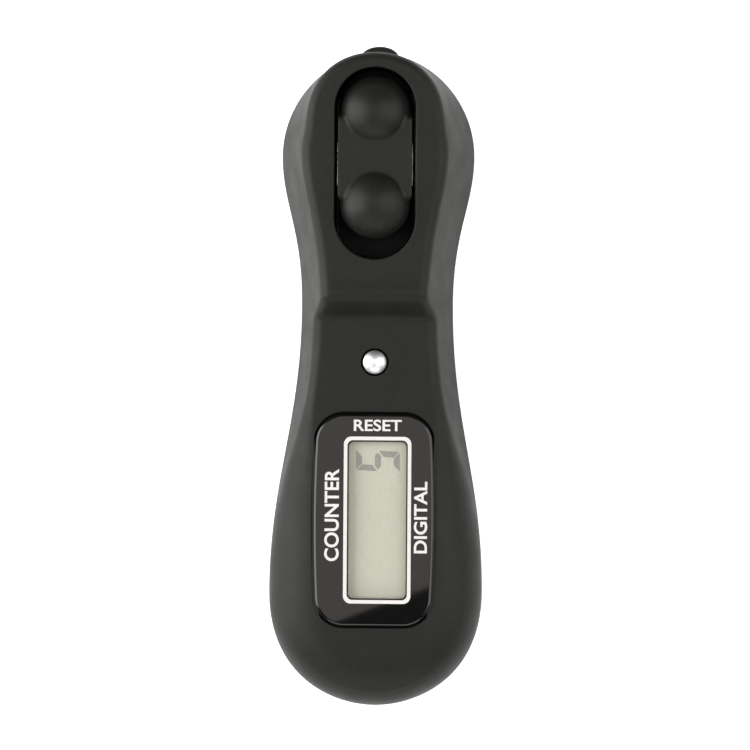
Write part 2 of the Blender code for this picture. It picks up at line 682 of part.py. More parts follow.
def rocker_pin(mats):
    half = SLOT_HALF + RUN + EAR_THICK - 2 * FIT
    new_object("rocker_pin", along_x(rod(PIN_R, -half, half, 24)), mats["steel"], (0, ROCKER_Y, PIVOT_Z))


def reset_button(mats):
    """Chromed dome on a short stem, with a collar that stops it inside the casing."""
    collar_low = PLUNGER_TOP + KEY_RUN
    collar_top = collar_low + RESET_COLLAR_THICK
    edge = FACE_Z + FIT / 2
    sphere = (RESET_R ** 2 + RESET_PROUD ** 2) / (2 * RESET_PROUD)
    spread = math.asin(RESET_R / sphere)
    profile = []
    for i in range(7):
        angle = spread * i / 6
        height = edge + RESET_PROUD - sphere * (1 - math.cos(angle))
        profile.append((sphere * math.sin(angle), height))
    profile += [(RESET_R, collar_top), (RESET_COLLAR_R, collar_top),
                (RESET_COLLAR_R, collar_low), (0, collar_low)]
    profile = [(r, z - collar_low) for r, z in profile]
    return new_object("reset_button", turned(profile, 28), mats["chrome"], (0, RESET_Y, collar_low))


def tact_switches(mats):
    """Three alike: base with a blind bore, steel cover, plunger."""
    low = BOARD_TOP + FIT
    base_top = low + SWITCH_BASE_TALL
    cover_low = base_top + FIT / 2
    half = SWITCH_SIDE / 2
    bore_floor = PLUNGER_TOP - PLUNGER_TALL - PRESS_TRAVEL - RUN
    for name, (x, y) in zip(("up", "down", "reset"), switch_places()):
        at = (x, y, 0)
        body = box(-half, half, -half, half, low, base_top)
        base = new_object(f"{name}_switch_base", body, mats["nylon"], at)
        bore = rod(PLUNGER_R + RUN - FIT / 2, bore_floor, PLUNGER_TOP, 24)
        boolean(base, cutter(f"{name}_bore", bore, at))
        plate = box(-half, half, -half, half, cover_low, cover_low + SWITCH_COVER_THICK)
        cover = new_object(f"{name}_switch_cover", plate, mats["steel"], at)
        hole = rod(PLUNGER_R + RUN - FIT, low, PLUNGER_TOP, 24)
        boolean(cover, cutter(f"{name}_cover_hole", hole, at))
        plunger = rod(PLUNGER_R, PLUNGER_TOP - PLUNGER_TALL, PLUNGER_TOP, 20)
        new_object(f"{name}_plunger", plunger, mats["plunger"], at)


def display(mats):
    floor = bezel_floor() + FIT
    bezel = new_object("display_bezel", prism(bezel_outline(), floor, floor + BEZEL_THICK), mats["bezel"],
                       (0, BEZEL_Y, 0))
    half_wide = WINDOW_WIDE / 2
    half_long = WINDOW_LONG / 2
    opening = box(-half_wide, half_wide, -half_long, half_long, floor - PAST, floor + BEZEL_THICK + PAST)
    boolean(bezel, cutter("window_opening", opening, (WINDOW_X, BEZEL_Y, 0)))
    top = floor + BEZEL_THICK - FIT
    half_wide -= FIT
    half_long -= FIT
    pane = box(-half_wide, half_wide, -half_long, half_long, top - WINDOW_THICK, top)
    new_object("display_window", pane, mats["clear"], (WINDOW_X, BEZEL_Y, 0))
    half = GLASS_WIDE / 2
    long_half = GLASS_LONG / 2
    front_low = glass_top() - GLASS_THICK
    rear_top = front_low - FIT
    rear_low = rear_top - GLASS_THICK
    sheet_top = rear_low - FIT
    at = (0, BEZEL_Y, 0)
    front = box(-half, half, -long_half, long_half, front_low, glass_top())
    new_object("lcd_front_glass", front, mats["lcd"], at)
    inner = -half + GLASS_LEDGE
    rear = box(inner, half, -long_half, long_half, rear_low, rear_top)
    new_object("lcd_rear_glass", rear, mats["lcd"], at)
    sheet = box(inner, half, -long_half, long_half, sheet_top - REFLECTOR_THICK, sheet_top)
    new_object("lcd_reflector", sheet, mats["reflector"], at)
    zebra_x = -half + FIT
    zebra_half = ZEBRA_LONG / 2
    zebra = box(zebra_x, zebra_x + ZEBRA_WIDE, -zebra_half, zebra_half, BOARD_TOP + FIT, front_low - FIT)
    new_object("zebra_strip", zebra, mats["rubber"], at)
    pocket = half + FRAME_RUN
    pocket_long = long_half + FRAME_RUN
    frame_top = min(FACE_Z - WALL - RUN, front_low - FIT)
    shelf = sheet_top - REFLECTOR_THICK - FIT
    outer = pocket + FRAME_WALL
    outer_long = pocket_long + FRAME_WALL
    block = box(-outer, outer, -outer_long, outer_long, BOARD_TOP + FIT, frame_top)
    frame = new_object("lcd_frame", block, mats["nylon"], at)
    recess = box(-pocket, pocket, -pocket_long, pocket_long, shelf, FACE_Z)
    boolean(frame, cutter("frame_pocket", recess, at))
    zebra_slot = box(zebra_x - FRAME_RUN, zebra_x + ZEBRA_WIDE + FRAME_RUN, -zebra_half - FRAME_RUN,
                     zebra_half + FRAME_RUN, board_low(), shelf + 2 * PAST)
    boolean(frame, cutter("frame_zebra_slot", zebra_slot, at))
    hollow = box(inner + 0.8, half - 0.8, -long_half + 1, long_half - 1, board_low(), shelf - 1.2)
    boolean(frame, cutter("frame_hollow", hollow, at))


def main_board(mats):
    """One board from the tail to the head, narrower in the head, with its screw holes."""
    outline_points = [(BOARD_HALF, BOARD_TAIL_Y), (BOARD_HALF, BOARD_SHOULDER_Y),
                      (BOARD_HEAD_HALF, BOARD_SHOULDER_Y + 2), (BOARD_HEAD_HALF, BOARD_HEAD_Y - 2),
                      (BOARD_HEAD_HALF - 2, BOARD_HEAD_Y)]
    points = outline_points + [(-x, y) for x, y in reversed(outline_points)]
    board = new_object("main_board", prism(points, board_low(), BOARD_TOP), mats["board"])
    for i, (x, y) in enumerate(BOARD_SCREWS):
        hole = rod(BOARD_SHANK_R + RUN - FIT / 2, board_low() - PAST, BOARD_TOP + PAST, 16)
        boolean(board, cutter(f"board_hole_{i}", hole, (x, y, 0)))
    clear = rod(CASE_HEAD_R + RUN + CASE_WELL_WALL + RUN, board_low() - PAST, BOARD_TOP + PAST, 24)
    for i, (x, y) in enumerate(CASE_SCREWS):
        if abs(x) < BOARD_HALF and BOARD_TAIL_Y < y < BOARD_HEAD_Y:
            boolean(board, cutter(f"post_hole_{i}", clear.copy(), (x, y, 0)))
    clear.free()
    return board


def small_parts(mats):
    """Potted chip under the board; two capacitors and a resistor on top of it in the head."""
    under = board_low() - FIT
    shape = ((0, 0), (1, 0), (0.94, 0.45), (0.67, 0.85), (0.28, 0.98), (0, 1))   # (radius, depth) as shares
    blob = [(CHIP_R * r, under - CHIP_TALL * deep) for r, deep in shape]
    new_object("chip_blob", turned(blob, 24), mats["epoxy"], (0, CHIP_Y, 0))
    base = BOARD_TOP + FIT
    for name, x, y, half_x, half_y, tall, mat in (
            ("capacitor_1", 2.2 - BOARD_HEAD_HALF, SLOT_LOW_Y, 1.0, 0.6, 1.0, "ceramic"),
            ("capacitor_2", BOARD_HEAD_HALF - 2.2, SLOT_LOW_Y, 1.0, 0.6, 1.0, "ceramic"),
            ("resistor_1", 3.5 - BOARD_HALF, RESET_Y - 5.1, 0.8, 0.4, 0.5, "resistor")):
        new_object(name, box(-half_x, half_x, -half_y, half_y, base, base + tall), mats[mat], (x, y, 0))


def screw(name, x, y, head_r, head_tall, shank_r, shank_long, seat_z, mat):
    """Pan-head screw that points up, its head just under seat_z."""
    under = seat_z - FIT
    tip = under + shank_long
    top = under - head_tall
    profile = [(0, tip), (shank_r * 0.5, tip), (shank_r, tip - shank_r), (shank_r, under),
               (head_r, under), (head_r, under - head_tall * 0.6), (head_r * 0.75, top), (0, top)]
    thing = new_object(name, turned(profile, 14), mat, (x, y, 0))
    cross = box(-head_r * 0.6, head_r * 0.6, -head_r * 0.16, head_r * 0.16, under - head_tall - 1,
                under - head_tall * 0.45)
    for turn in (0, 90):
        cut = cutter(f"{name}_cross_{turn}", cross.copy(), (x, y, 0))
        cut.rotation_euler.z = math.radians(turn)
        boolean(thing, cut)
    cross.free()
    return thing


def screws(mats):
    for i, (x, y) in enumerate(CASE_SCREWS, 1):
        screw(f"case_screw_{i}", x, y, CASE_HEAD_R, CASE_HEAD_TALL, CASE_SHANK_R, CASE_SHANK_LONG,
              CASE_WELL_DEEP, mats["steel"])
    for i, (x, y) in enumerate(BOARD_SCREWS, 1):
        screw(f"board_screw_{i}", x, y, BOARD_HEAD_R, BOARD_HEAD_TALL, BOARD_SHANK_R, BOARD_SHANK_LONG,
              board_low(), mats["steel"])


def build():
    clear_scene()
    mats = {
        "casing": material("casing", (0.028, 0.028, 0.026), 0.55),
        "rocker": material("rocker", (0.022, 0.022, 0.021), 0.6),
        "bezel": material("bezel", (0.012, 0.011, 0.010), 0.08),
        "clear": material("clear", (0.9, 0.92, 0.9), 0.05, alpha=0.3),
        "chrome": material("chrome", (0.85, 0.85, 0.86), 0.08, 1.0),
        "lcd": material("lcd", (0.58, 0.58, 0.49), 0.2),
        "reflector": material("reflector", (0.62, 0.62, 0.55), 0.4),
        "steel": material("steel", (0.6, 0.6, 0.6), 0.3, 1.0),
        "nickel": material("nickel", (0.7, 0.68, 0.62), 0.3, 1.0),
        "nylon": material("nylon", (0.75, 0.75, 0.72), 0.5),
        "plunger": material("plunger", (0.05, 0.05, 0.05), 0.45),
        "rubber": material("rubber", (0.35, 0.36, 0.4), 0.7),
        "board": material("board", (0.02, 0.12, 0.05), 0.4),
        "epoxy": material("epoxy", (0.01, 0.01, 0.01), 0.3),
        "ceramic": material("ceramic", (0.45, 0.32, 0.2), 0.4),
        "resistor": material("resistor", (0.03, 0.03, 0.03), 0.4),
    }
    front_shell(mats)
    back_shell(mats)
    count_rocker(mats)
    rocker_pin(mats)
    reset_button(mats)
    tact_switches(mats)
    display(mats)
    main_board(mats)
    small_parts(mats)
    battery_holder(mats)
    button_cell(mats)
    battery_contacts(mats)
    battery_cover(mats)
    screws(mats)


build()
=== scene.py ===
import math

import bmesh
import bpy
import numpy as np
from mathutils import Matrix, Vector
from mathutils.geometry import delaunay_2d_cdt


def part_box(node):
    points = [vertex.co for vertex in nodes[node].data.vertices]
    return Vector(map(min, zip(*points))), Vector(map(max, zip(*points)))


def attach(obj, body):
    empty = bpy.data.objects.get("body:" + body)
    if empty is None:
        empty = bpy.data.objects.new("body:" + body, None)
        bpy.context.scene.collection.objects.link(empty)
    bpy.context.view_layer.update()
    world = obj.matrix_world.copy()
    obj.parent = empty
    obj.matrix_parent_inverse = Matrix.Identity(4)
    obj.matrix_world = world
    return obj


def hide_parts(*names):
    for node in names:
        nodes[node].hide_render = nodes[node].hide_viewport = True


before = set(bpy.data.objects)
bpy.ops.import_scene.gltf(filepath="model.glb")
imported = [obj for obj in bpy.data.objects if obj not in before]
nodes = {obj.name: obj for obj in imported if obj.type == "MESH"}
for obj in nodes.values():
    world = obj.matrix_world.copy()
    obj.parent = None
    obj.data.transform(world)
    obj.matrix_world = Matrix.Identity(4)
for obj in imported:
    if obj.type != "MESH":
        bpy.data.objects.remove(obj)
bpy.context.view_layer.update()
print("frame loaded:", len(nodes), "nodes")

mm = 0.001   # every size below is in millimetres and is scaled as its mesh is made


def nodeBox(name):
    low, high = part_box(name)
    return Vector(low) / mm, Vector(high) / mm


# casing, the same outline and heights as the solid halves
casing = {
    "headTopY": 53.6, "headHalf": 16.0, "headY": 36.4,
    "waistHalf": 12.6, "waistY": 11.8,
    "bellyHalf": 17.75, "bellyY": -36.0, "tailY": -55.0,
    "topPull": 8.6, "headPullUp": 9.2, "headPullDown": 7.9, "waistPullUp": 12.4, "waistPullDown": 20.0,
    "bellyPullUp": 18.8, "bellyPullDown": 14.2, "tailPull": 7.3,
    "seamZ": 11.0, "seamGap": 0.2, "faceZ": 20.5,
    "stepRise": 4.2, "stepLowY": 8.8, "stepHighY": 12.9,
    "ridgeRise": 0.35, "ridgeY": 13.6, "ridgeHalf": 1.5,
    "headRise": 1.0, "dishY": 19.0, "headFaceY": 34.0,
    "crown": 0.25, "backCorner": 7.5, "backLean": 0.08, "wall": 1.4,
    "leanTail": 0.05, "leanGrow": 0.24, "leanFromY": -34.0, "leanRun": 34.0, "leanEaseY": 40.0,
    "cornerHead": 1.3, "cornerGrow": 6.7, "cornerFromY": -2.0, "cornerRun": 28.0,
    "roundTall": 1.05, "roundMost": 0.8, "roundPull": 0.56, "innerRound": 0.35,
    "rowSpacing": 0.5, "stepSpacing": 0.22,
    "slotHalf": 6.63, "slotLowY": 19.0, "slotHighY": 50.4,
    "slotRim": 0.3, "bezelRim": 0.12, "resetRim": 0.06,
    "resetHole": 2.27, "bezelSeatGap": 0.1, "glassGap": 0.3,
}

bezel = {
    "centreY": -23.9, "half": 9.35, "longHalf": 17.45, "corner": 4.4, "bow": 0.55,
    "groove": 0.35, "thick": 1.3, "windowX": 0.6, "windowHalf": 4.75, "windowLong": 12.9,
    "windowRound": 0.85, "flatBand": 0.08, "windowEdge": 0.06,
    # inset and drop of its sloped rim
    "edge": ((0.4, 0.0), (0.3, 0.03), (0.13, 0.13), (0.03, 0.24), (0.0, 0.36)),
}


def smoothStep(value):
    value = np.clip(value, 0.0, 1.0)
    return value * value * (3 - 2 * value)


def bezierRun(a, b, c, d, t):
    t = np.asarray(t)[:, None]
    return (1 - t) ** 3 * a + 3 * (1 - t) ** 2 * t * b + 3 * (1 - t) * t ** 2 * c + t ** 3 * d


def outlinePoints():
    c = casing
    top, tail = (0, c["headTopY"]), (0, c["tailY"])
    head = (c["headHalf"], c["headY"])
    waist = (c["waistHalf"], c["waistY"])
    belly = (c["bellyHalf"], c["bellyY"])
    knots = (
        (top, (c["topPull"], top[1]), (head[0], head[1] + c["headPullUp"]), head),
        (head, (head[0], head[1] - c["headPullDown"]), (waist[0], waist[1] + c["waistPullUp"]), waist),
        (waist, (waist[0], waist[1] - c["waistPullDown"]), (belly[0], belly[1] + c["bellyPullUp"]), belly),
        (belly, (belly[0], belly[1] - c["bellyPullDown"]), (c["tailPull"], tail[1]), tail),
    )
    steps = np.linspace(0, 1, 400)
    runs = [bezierRun(*(np.array(p, float) for p in knot), steps) for knot in knots]
    return np.vstack([runs[0]] + [run[1:] for run in runs[1:]])


def outlineRows(spacing, stepSpacing):
    # rows down one side, closer together at the step, with the direction that points into the body
    points = outlinePoints()
    lengths = np.hypot(*np.diff(points, axis=0).T)
    middle = (points[1:, 1] + points[:-1, 1]) / 2
    nearStep = (middle > casing["stepLowY"] - 2) & (middle < casing["ridgeY"] + 2 * casing["ridgeHalf"])
    travelled = np.concatenate([[0], np.cumsum(lengths / np.where(nearStep, stepSpacing, spacing))])
    picks = np.linspace(0, travelled[-1], int(round(travelled[-1])) + 1)
    rows = np.stack([np.interp(picks, travelled, points[:, i]) for i in (0, 1)], axis=1)
    slope = np.gradient(points, axis=0)
    slope = np.stack([np.interp(picks, travelled, slope[:, i]) for i in (0, 1)], axis=1)
    slope /= np.linalg.norm(slope, axis=1)[:, None]
    inward = np.stack([slope[:, 1], -slope[:, 0]], axis=1)
    rows[0, 0] = rows[-1, 0] = 0.0
    inward[0], inward[-1] = (0, -1), (0, 1)
    return rows, inward


def faceHeight(x, y):
    c = casing
    z = c["faceZ"] + c["stepRise"] * smoothStep((y - c["stepLowY"]) / (c["stepHighY"] - c["stepLowY"]))
    z = z + c["headRise"] * smoothStep((y - c["dishY"]) / (c["headFaceY"] - c["dishY"]))
    z = z + c["ridgeRise"] * np.exp(-((y - c["ridgeY"]) / c["ridgeHalf"]) ** 2)
    return z - c["crown"] * (x / 10) ** 2


def frontLean(y):
    c = casing
    lean = c["leanTail"] + c["leanGrow"] * smoothStep((y - c["leanFromY"]) / c["leanRun"])
    return lean - c["leanGrow"] * smoothStep((y - c["leanEaseY"]) / (c["headTopY"] - c["leanEaseY"]))


def frontCorner(y):
    c = casing
    return c["cornerHead"] + c["cornerGrow"] * smoothStep((c["cornerFromY"] - y) / c["cornerRun"])


def halfSection(point, side, shrink):
    # how one side runs from the seam to its round, as inset and height above the seam
    y = point[1]
    if side == "front":
        lean = frontLean(y)
        corner = frontCorner(y)
        rise = float(faceHeight(0, y)) - shrink - casing["seamZ"]
    else:
        lean = casing["backLean"]
        corner = casing["backCorner"]
        rise = casing["seamZ"] - shrink
    if shrink:
        corner *= casing["innerRound"]
    tall = min(corner * casing["roundTall"], rise * casing["roundMost"])
    seam = np.array([shrink, 0.0])
    peak = np.array([shrink + lean * rise, rise])
    foot = np.array([shrink + lean * (rise - tall), rise - tall])
    shelf = np.array([peak[0] + corner, rise])
    return seam, foot, peak, shelf


def sideWall(bm, side, shrink, seamZ, walls, rounds, spacing, stepSpacing):
    # the wall and its round, from the seam ring in to the edge of the flat face; gives both rings
    rows, inward = outlineRows(spacing, stepSpacing)
    pull = casing["roundPull"]
    grid = []
    for point, normal in zip(rows, inward):
        seam, foot, peak, shelf = halfSection(point, side, shrink)
        line = [seam + (foot - seam) * t for t in np.linspace(0, 1, walls + 1)]
        turn = bezierRun(foot, foot + (peak - foot) * pull, shelf + (peak - shelf) * pull, shelf,
                         np.linspace(0, 1, rounds + 1))[1:]
        half = []
        for inset, high in line + list(turn):
            x, y = point + normal * inset
            if side == "front":
                share = high / peak[1]
                drop = casing["crown"] * (x / 10) ** 2
                local = float(faceHeight(0.0, y) - faceHeight(0.0, point[1]))
                z = casing["seamZ"] + high + (local - drop) * share
            else:
                z = casing["seamZ"] - high
            half.append((x, y, z))
        half[0] = (half[0][0], half[0][1], seamZ)
        grid.append(half)
    right = [[bm.verts.new(p) for p in row] for row in grid]
    left = [[bm.verts.new((-x, y, z)) for x, y, z in row] for row in grid[1:-1]]
    left = [right[0]] + left + [right[-1]]
    for half in (right, left):
        for upper, lower in zip(half, half[1:]):
            for j in range(len(upper) - 1):
                bm.faces.new((upper[j], upper[j + 1], lower[j + 1], lower[j]))
    ring = lambda j: [row[j] for row in right] + [row[j] for row in reversed(left[1:-1])]
    return ring(0), ring(-1)


def insidePolygon(points, loop):
    x, y = points[:, 0][:, None], points[:, 1][:, None]
    x0, y0 = loop[:, 0], loop[:, 1]
    x1, y1 = np.roll(x0, -1), np.roll(y0, -1)
    crosses = (y0 > y) != (y1 > y)
    run = np.where(y1 == y0, 1e-12, y1 - y0)
    return (crosses & (x < (x1 - x0) * (y - y0) / run + x0)).sum(axis=1) % 2 == 1


def distanceTo(points, loop):
    a, b = loop, np.roll(loop, -1, axis=0)
    best = np.full(len(points), 1e9)
    for start, end in zip(a, b):
        run = end - start
        t = np.clip(((points - start) @ run) / max(run @ run, 1e-12), 0, 1)
        best = np.minimum(best, np.hypot(*(points - start - t[:, None] * run).T))
    return best


def insideArea(points, outer, holes):
    inside = insidePolygon(points, outer)
    for loop in holes:
        inside &= ~insidePolygon(points, loop)
    return inside


def gridPoints(columns, rows):
    gx, gy = np.meshgrid(columns, rows)
    return np.stack([gx.ravel(), gy.ravel()], axis=1)


def fillPlan(bm, outer, holes, extra, heightAt, margin):
    # triangulates the area between an outer ring and holes, with extra points on the surface heightAt
    rings = [outer] + holes
    flat = [np.array([v.co[:2] for v in ring]) for ring in rings]
    extra = extra[insideArea(extra, flat[0], flat[1:])]
    for loop in flat:
        extra = extra[distanceTo(extra, loop) > margin]
    verts = [v for ring in rings for v in ring]
    edges = []
    start = 0
    for ring in rings:
        edges += [(start + i, start + (i + 1) % len(ring)) for i in range(len(ring))]
        start += len(ring)
    points = np.vstack(flat + [extra])
    coords, _, faces, origins, _, _ = delaunay_2d_cdt([Vector(p) for p in points], edges, [], 0, 1e-7)
    made = []
    for place, origin in zip(coords, origins):
        known = [i for i in origin if i < len(verts)]
        if known:
            made.append(verts[known[0]])
        else:
            made.append(bm.verts.new((place[0], place[1], float(heightAt(place[0], place[1])))))
    centres = np.array([np.mean([coords[i] for i in f], axis=0) for f in faces])
    for f, use in zip(faces, insideArea(centres, flat[0], flat[1:])):
        corners = [made[i] for i in f]
        if use and len(set(corners)) == len(corners):
            bm.faces.new(corners)


def obround(half, low, high, steps=28, sideSteps=24):
    turns = [math.pi * i / steps for i in range(steps + 1)]
    along = [(high - low - 2 * half) * i / sideSteps for i in range(1, sideSteps)]
    points = [(half * math.cos(turn), high - half + half * math.sin(turn)) for turn in turns]
    points += [(-half, high - half - run) for run in along]
    points += [(-half * math.cos(turn), low + half - half * math.sin(turn)) for turn in turns]
    points += [(half, low + half + run) for run in along]
    return points


def bezelOutline(grow=0.0, steps=12, sideSteps=24, endSteps=10):
    # a rounded rectangle whose long sides bow outwards
    b = bezel
    half, longHalf, corner = b["half"] + grow, b["longHalf"] + grow, b["corner"] + grow
    points = []
    for sx, sy, start in ((1, 1, 0), (-1, 1, 90), (-1, -1, 180), (1, -1, 270)):
        for i in range(steps + 1):
            angle = math.radians(start + 90 * i / steps)
            points.append((sx * (half - corner) + corner * math.cos(angle),
                           sy * (longHalf - corner) + corner * math.sin(angle)))
        reach = longHalf - corner
        if sx * sy < 0:
            points += [(sx * half, sy * reach * (1 - 2 * i / sideSteps)) for i in range(1, sideSteps)]
        else:
            wide = half - corner
            points += [(sx * wide * (1 - 2 * i / endSteps), sy * longHalf) for i in range(1, endSteps)]
    bowed = [(x + math.copysign(min(abs(x) / 5, 1), x) * b["bow"] * (1 - (y / longHalf) ** 2), y)
             for x, y in points]
    return [(x, y + b["centreY"]) for x, y in bowed]


def circle(radius, x, y, steps=72):
    return [(x + radius * math.cos(math.tau * i / steps), y + radius * math.sin(math.tau * i / steps))
            for i in range(steps)]


def ringOf(bm, points, heightAt, drop=0.0):
    return [bm.verts.new((x, y, float(heightAt(x, y)) - drop)) for x, y in points]


def joinRings(bm, first, second):
    count = len(first)
    for i in range(count):
        j = (i + 1) % count
        bm.faces.new((first[i], first[j], second[j], second[i]))


def joinStack(bm, rings):
    for first, second in zip(rings, rings[1:]):
        joinRings(bm, first, second)


def quarterRound(radius, steps):
    # inset and drop of each step over a rounded edge
    turns = [math.pi / 2 * k / steps for k in range(steps + 1)]
    return [(radius * (1 - math.sin(turn)), radius * (1 - math.cos(turn))) for turn in turns]


def roundedHole(bm, outline, radius, heightAt, steps=5):
    # rings that roll over the edge of a hole; gives the outermost and the innermost
    rings = [ringOf(bm, outline(inset), heightAt, drop) for inset, drop in quarterRound(radius, steps)]
    joinStack(bm, rings)
    return rings[0], rings[-1]


def shade(mesh, sharp=40):
    mesh.shade_smooth()
    mesh.set_sharp_from_angle(angle=math.radians(sharp))


def makeObject(name, bm, body, mats, scaled=True, sharp=40):
    if scaled:
        bmesh.ops.scale(bm, vec=(mm, mm, mm), verts=bm.verts)
    bmesh.ops.recalc_face_normals(bm, faces=bm.faces)
    mesh = bpy.data.meshes.new(name)
    bm.to_mesh(mesh)
    bm.free()
    shade(mesh, sharp)
    thing = bpy.data.objects.new(name, mesh)
    bpy.context.scene.collection.objects.link(thing)
    for mat in mats if isinstance(mats, (list, tuple)) else [mats]:
        mesh.materials.append(mat)
    if body:
        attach(thing, body)
    return thing


# materials
def newMaterial(name, colour, roughness, metallic=0.0):
    mat = bpy.data.materials.new(name)
    mat.use_nodes = True
    shader = mat.node_tree.nodes["Principled BSDF"]
    shader.inputs["Base Color"].default_value = (*colour, 1)
    shader.inputs["Roughness"].default_value = roughness
    shader.inputs["Metallic"].default_value = metallic
    return mat, mat.node_tree.nodes, mat.node_tree.links, shader


def addNoise(tree, links, scale, detail=2.0, rough=0.5):
    coords = tree.new("ShaderNodeTexCoord")
    noise = tree.new("ShaderNodeTexNoise")
    noise.inputs["Scale"].default_value = scale
    noise.inputs["Detail"].default_value = detail
    noise.inputs["Roughness"].default_value = rough
    links.new(coords.outputs["Object"], noise.inputs["Vector"])
    return noise


def varyColour(tree, links, shader, noise, dark, light, low=0.35, high=0.65):
    ramp = tree.new("ShaderNodeValToRGB")
    ramp.color_ramp.elements[0].position = low
    ramp.color_ramp.elements[1].position = high
    ramp.color_ramp.elements[0].color = (*dark, 1)
    ramp.color_ramp.elements[1].color = (*light, 1)
    links.new(noise.outputs["Fac"], ramp.inputs["Fac"])
    links.new(ramp.outputs["Color"], shader.inputs["Base Color"])


def varyRoughness(tree, links, shader, noise, low, high):
    reach = tree.new("ShaderNodeMapRange")
    reach.inputs["From Min"].default_value = 0.3
    reach.inputs["From Max"].default_value = 0.7
    reach.inputs["To Min"].default_value = low
    reach.inputs["To Max"].default_value = high
    links.new(noise.outputs["Fac"], reach.inputs["Value"])
    links.new(reach.outputs["Result"], shader.inputs["Roughness"])


def addBump(tree, links, shader, noise, strength, distance):
    bump = tree.new("ShaderNodeBump")
    bump.inputs["Strength"].default_value = strength
    bump.inputs["Distance"].default_value = distance
    links.new(noise.outputs["Fac"], bump.inputs["Height"])
    links.new(bump.outputs["Normal"], shader.inputs["Normal"])


def plasticMaterial(name, dark, light, roughLow, roughHigh, grain=2600, bump=0.25, depth=0.00004,
                    specular=0.5):
    mat, tree, links, shader = newMaterial(name, light, roughHigh)
    shader.inputs["Specular IOR Level"].default_value = specular
    fine = addNoise(tree, links, grain, 3)
    broad = addNoise(tree, links, grain / 12, 2)
    varyColour(tree, links, shader, fine, dark, light)
    varyRoughness(tree, links, shader, broad, roughLow, roughHigh)
    addBump(tree, links, shader, fine, bump, depth)
    return mat


def metalMaterial(name, dark, light, roughLow, roughHigh, grain=900):
    mat, tree, links, shader = newMaterial(name, light, roughHigh, 1.0)
    noise = addNoise(tree, links, grain, 4, 0.6)
    varyColour(tree, links, shader, noise, dark, light)
    varyRoughness(tree, links, shader, noise, roughLow, roughHigh)
    addBump(tree, links, shader, noise, 0.08, 0.00002)
    return mat


def windowMaterial():
    mat, tree, links, shader = newMaterial("clearWindow", (0.3, 0.31, 0.3), 0.04)
    shader.inputs["Alpha"].default_value = 0.06
    noise = addNoise(tree, links, 300, 2)
    varyRoughness(tree, links, shader, noise, 0.03, 0.06)
    return mat


def lcdMaterial():
    # grey-green polariser over a brushed reflector: faint streaks along the length
    mat, tree, links, shader = newMaterial("lcdPolariser", (0.6, 0.6, 0.5), 0.35)
    shader.inputs["Specular IOR Level"].default_value = 0.2
    coords = tree.new("ShaderNodeTexCoord")
    stretch = tree.new("ShaderNodeMapping")
    stretch.inputs["Scale"].default_value = (4200, 500, 1)
    links.new(coords.outputs["Object"], stretch.inputs["Vector"])
    noise = tree.new("ShaderNodeTexNoise")
    noise.inputs["Scale"].default_value = 1.0
    noise.inputs["Detail"].default_value = 3
    links.new(stretch.outputs["Vector"], noise.inputs["Vector"])
    varyColour(tree, links, shader, noise, (0.473, 0.461, 0.373), (0.51, 0.497, 0.405))
    return mat


matteBlack = plasticMaterial("softTouchBlack", (0.0066, 0.0064, 0.005), (0.0096, 0.0092, 0.0073), 0.48, 0.56,
                             specular=0.22)
padBlack = plasticMaterial("padBlack", (0.0062, 0.006, 0.0048), (0.009, 0.0086, 0.007), 0.44, 0.52, 2200,
                           specular=0.24)
# painted shade: a darker, duller copy of the casing black, for the walls of holes and gaps where shade falls
paintedShadeBlack = plasticMaterial("paintedShadeBlack", (0.002, 0.002, 0.0017), (0.004, 0.0038, 0.0034), 0.6, 0.75,
                            specular=0.08)
glossBlack = plasticMaterial("glossBlack", (0.0008, 0.0007, 0.0006), (0.0014, 0.0012, 0.001), 0.012, 0.025,
                             500, 0.004)
chromed = metalMaterial("satinChrome", (0.88, 0.88, 0.87), (0.94, 0.94, 0.93), 0.4, 0.46)
steel = metalMaterial("brightSteel", (0.5, 0.5, 0.5), (0.66, 0.66, 0.65), 0.25, 0.4)
darkSteel = metalMaterial("blackenedSteel", (0.02, 0.02, 0.02), (0.05, 0.048, 0.045), 0.35, 0.5)
# painted highlight: bright metal for the thin bars along the rocker web's sides, standing in for glints on
# the plastic web's edges
glintSteel = metalMaterial("glintSteel", (0.06, 0.06, 0.055), (0.4, 0.39, 0.37), 0.3, 0.45, 700)
nickel = metalMaterial("nickelSpring", (0.6, 0.58, 0.52), (0.74, 0.71, 0.64), 0.22, 0.38)
whiteInk = plasticMaterial("whiteInk", (0.6, 0.575, 0.56), (0.65, 0.625, 0.605), 0.4, 0.5, 1500, 0.05)
digitGrey = plasticMaterial("digitGrey", (0.235, 0.227, 0.198), (0.252, 0.243, 0.212), 0.4, 0.5, 3000, 0.02)
nylonWhite = plasticMaterial("nylonWhite", (0.62, 0.62, 0.58), (0.74, 0.73, 0.69), 0.4, 0.55, 1200, 0.1)
zebraRubber = plasticMaterial("zebraRubber", (0.12, 0.13, 0.16), (0.5, 0.5, 0.52), 0.6, 0.75, 4000, 0.1)
epoxyBlack = plasticMaterial("epoxyBlack", (0.008, 0.008, 0.008), (0.016, 0.015, 0.015), 0.15, 0.3,
                             700, 0.2, 0.0001)
ceramicTan = plasticMaterial("ceramicTan", (0.36, 0.24, 0.14), (0.5, 0.36, 0.22), 0.35, 0.5, 1500, 0.05)
resistorBlack = plasticMaterial("resistorBlack", (0.01, 0.01, 0.012), (0.03, 0.03, 0.03), 0.3, 0.5,
                                1500, 0.05)
solderMask = plasticMaterial("solderMaskGreen", (0.008, 0.09, 0.035), (0.015, 0.15, 0.06), 0.2, 0.4, 700, 0.1)
foilGrey = metalMaterial("foilGrey", (0.5, 0.5, 0.44), (0.66, 0.66, 0.58), 0.3, 0.45)
clearWindow = windowMaterial()
lcdPolariser = lcdMaterial()
print("materials made")


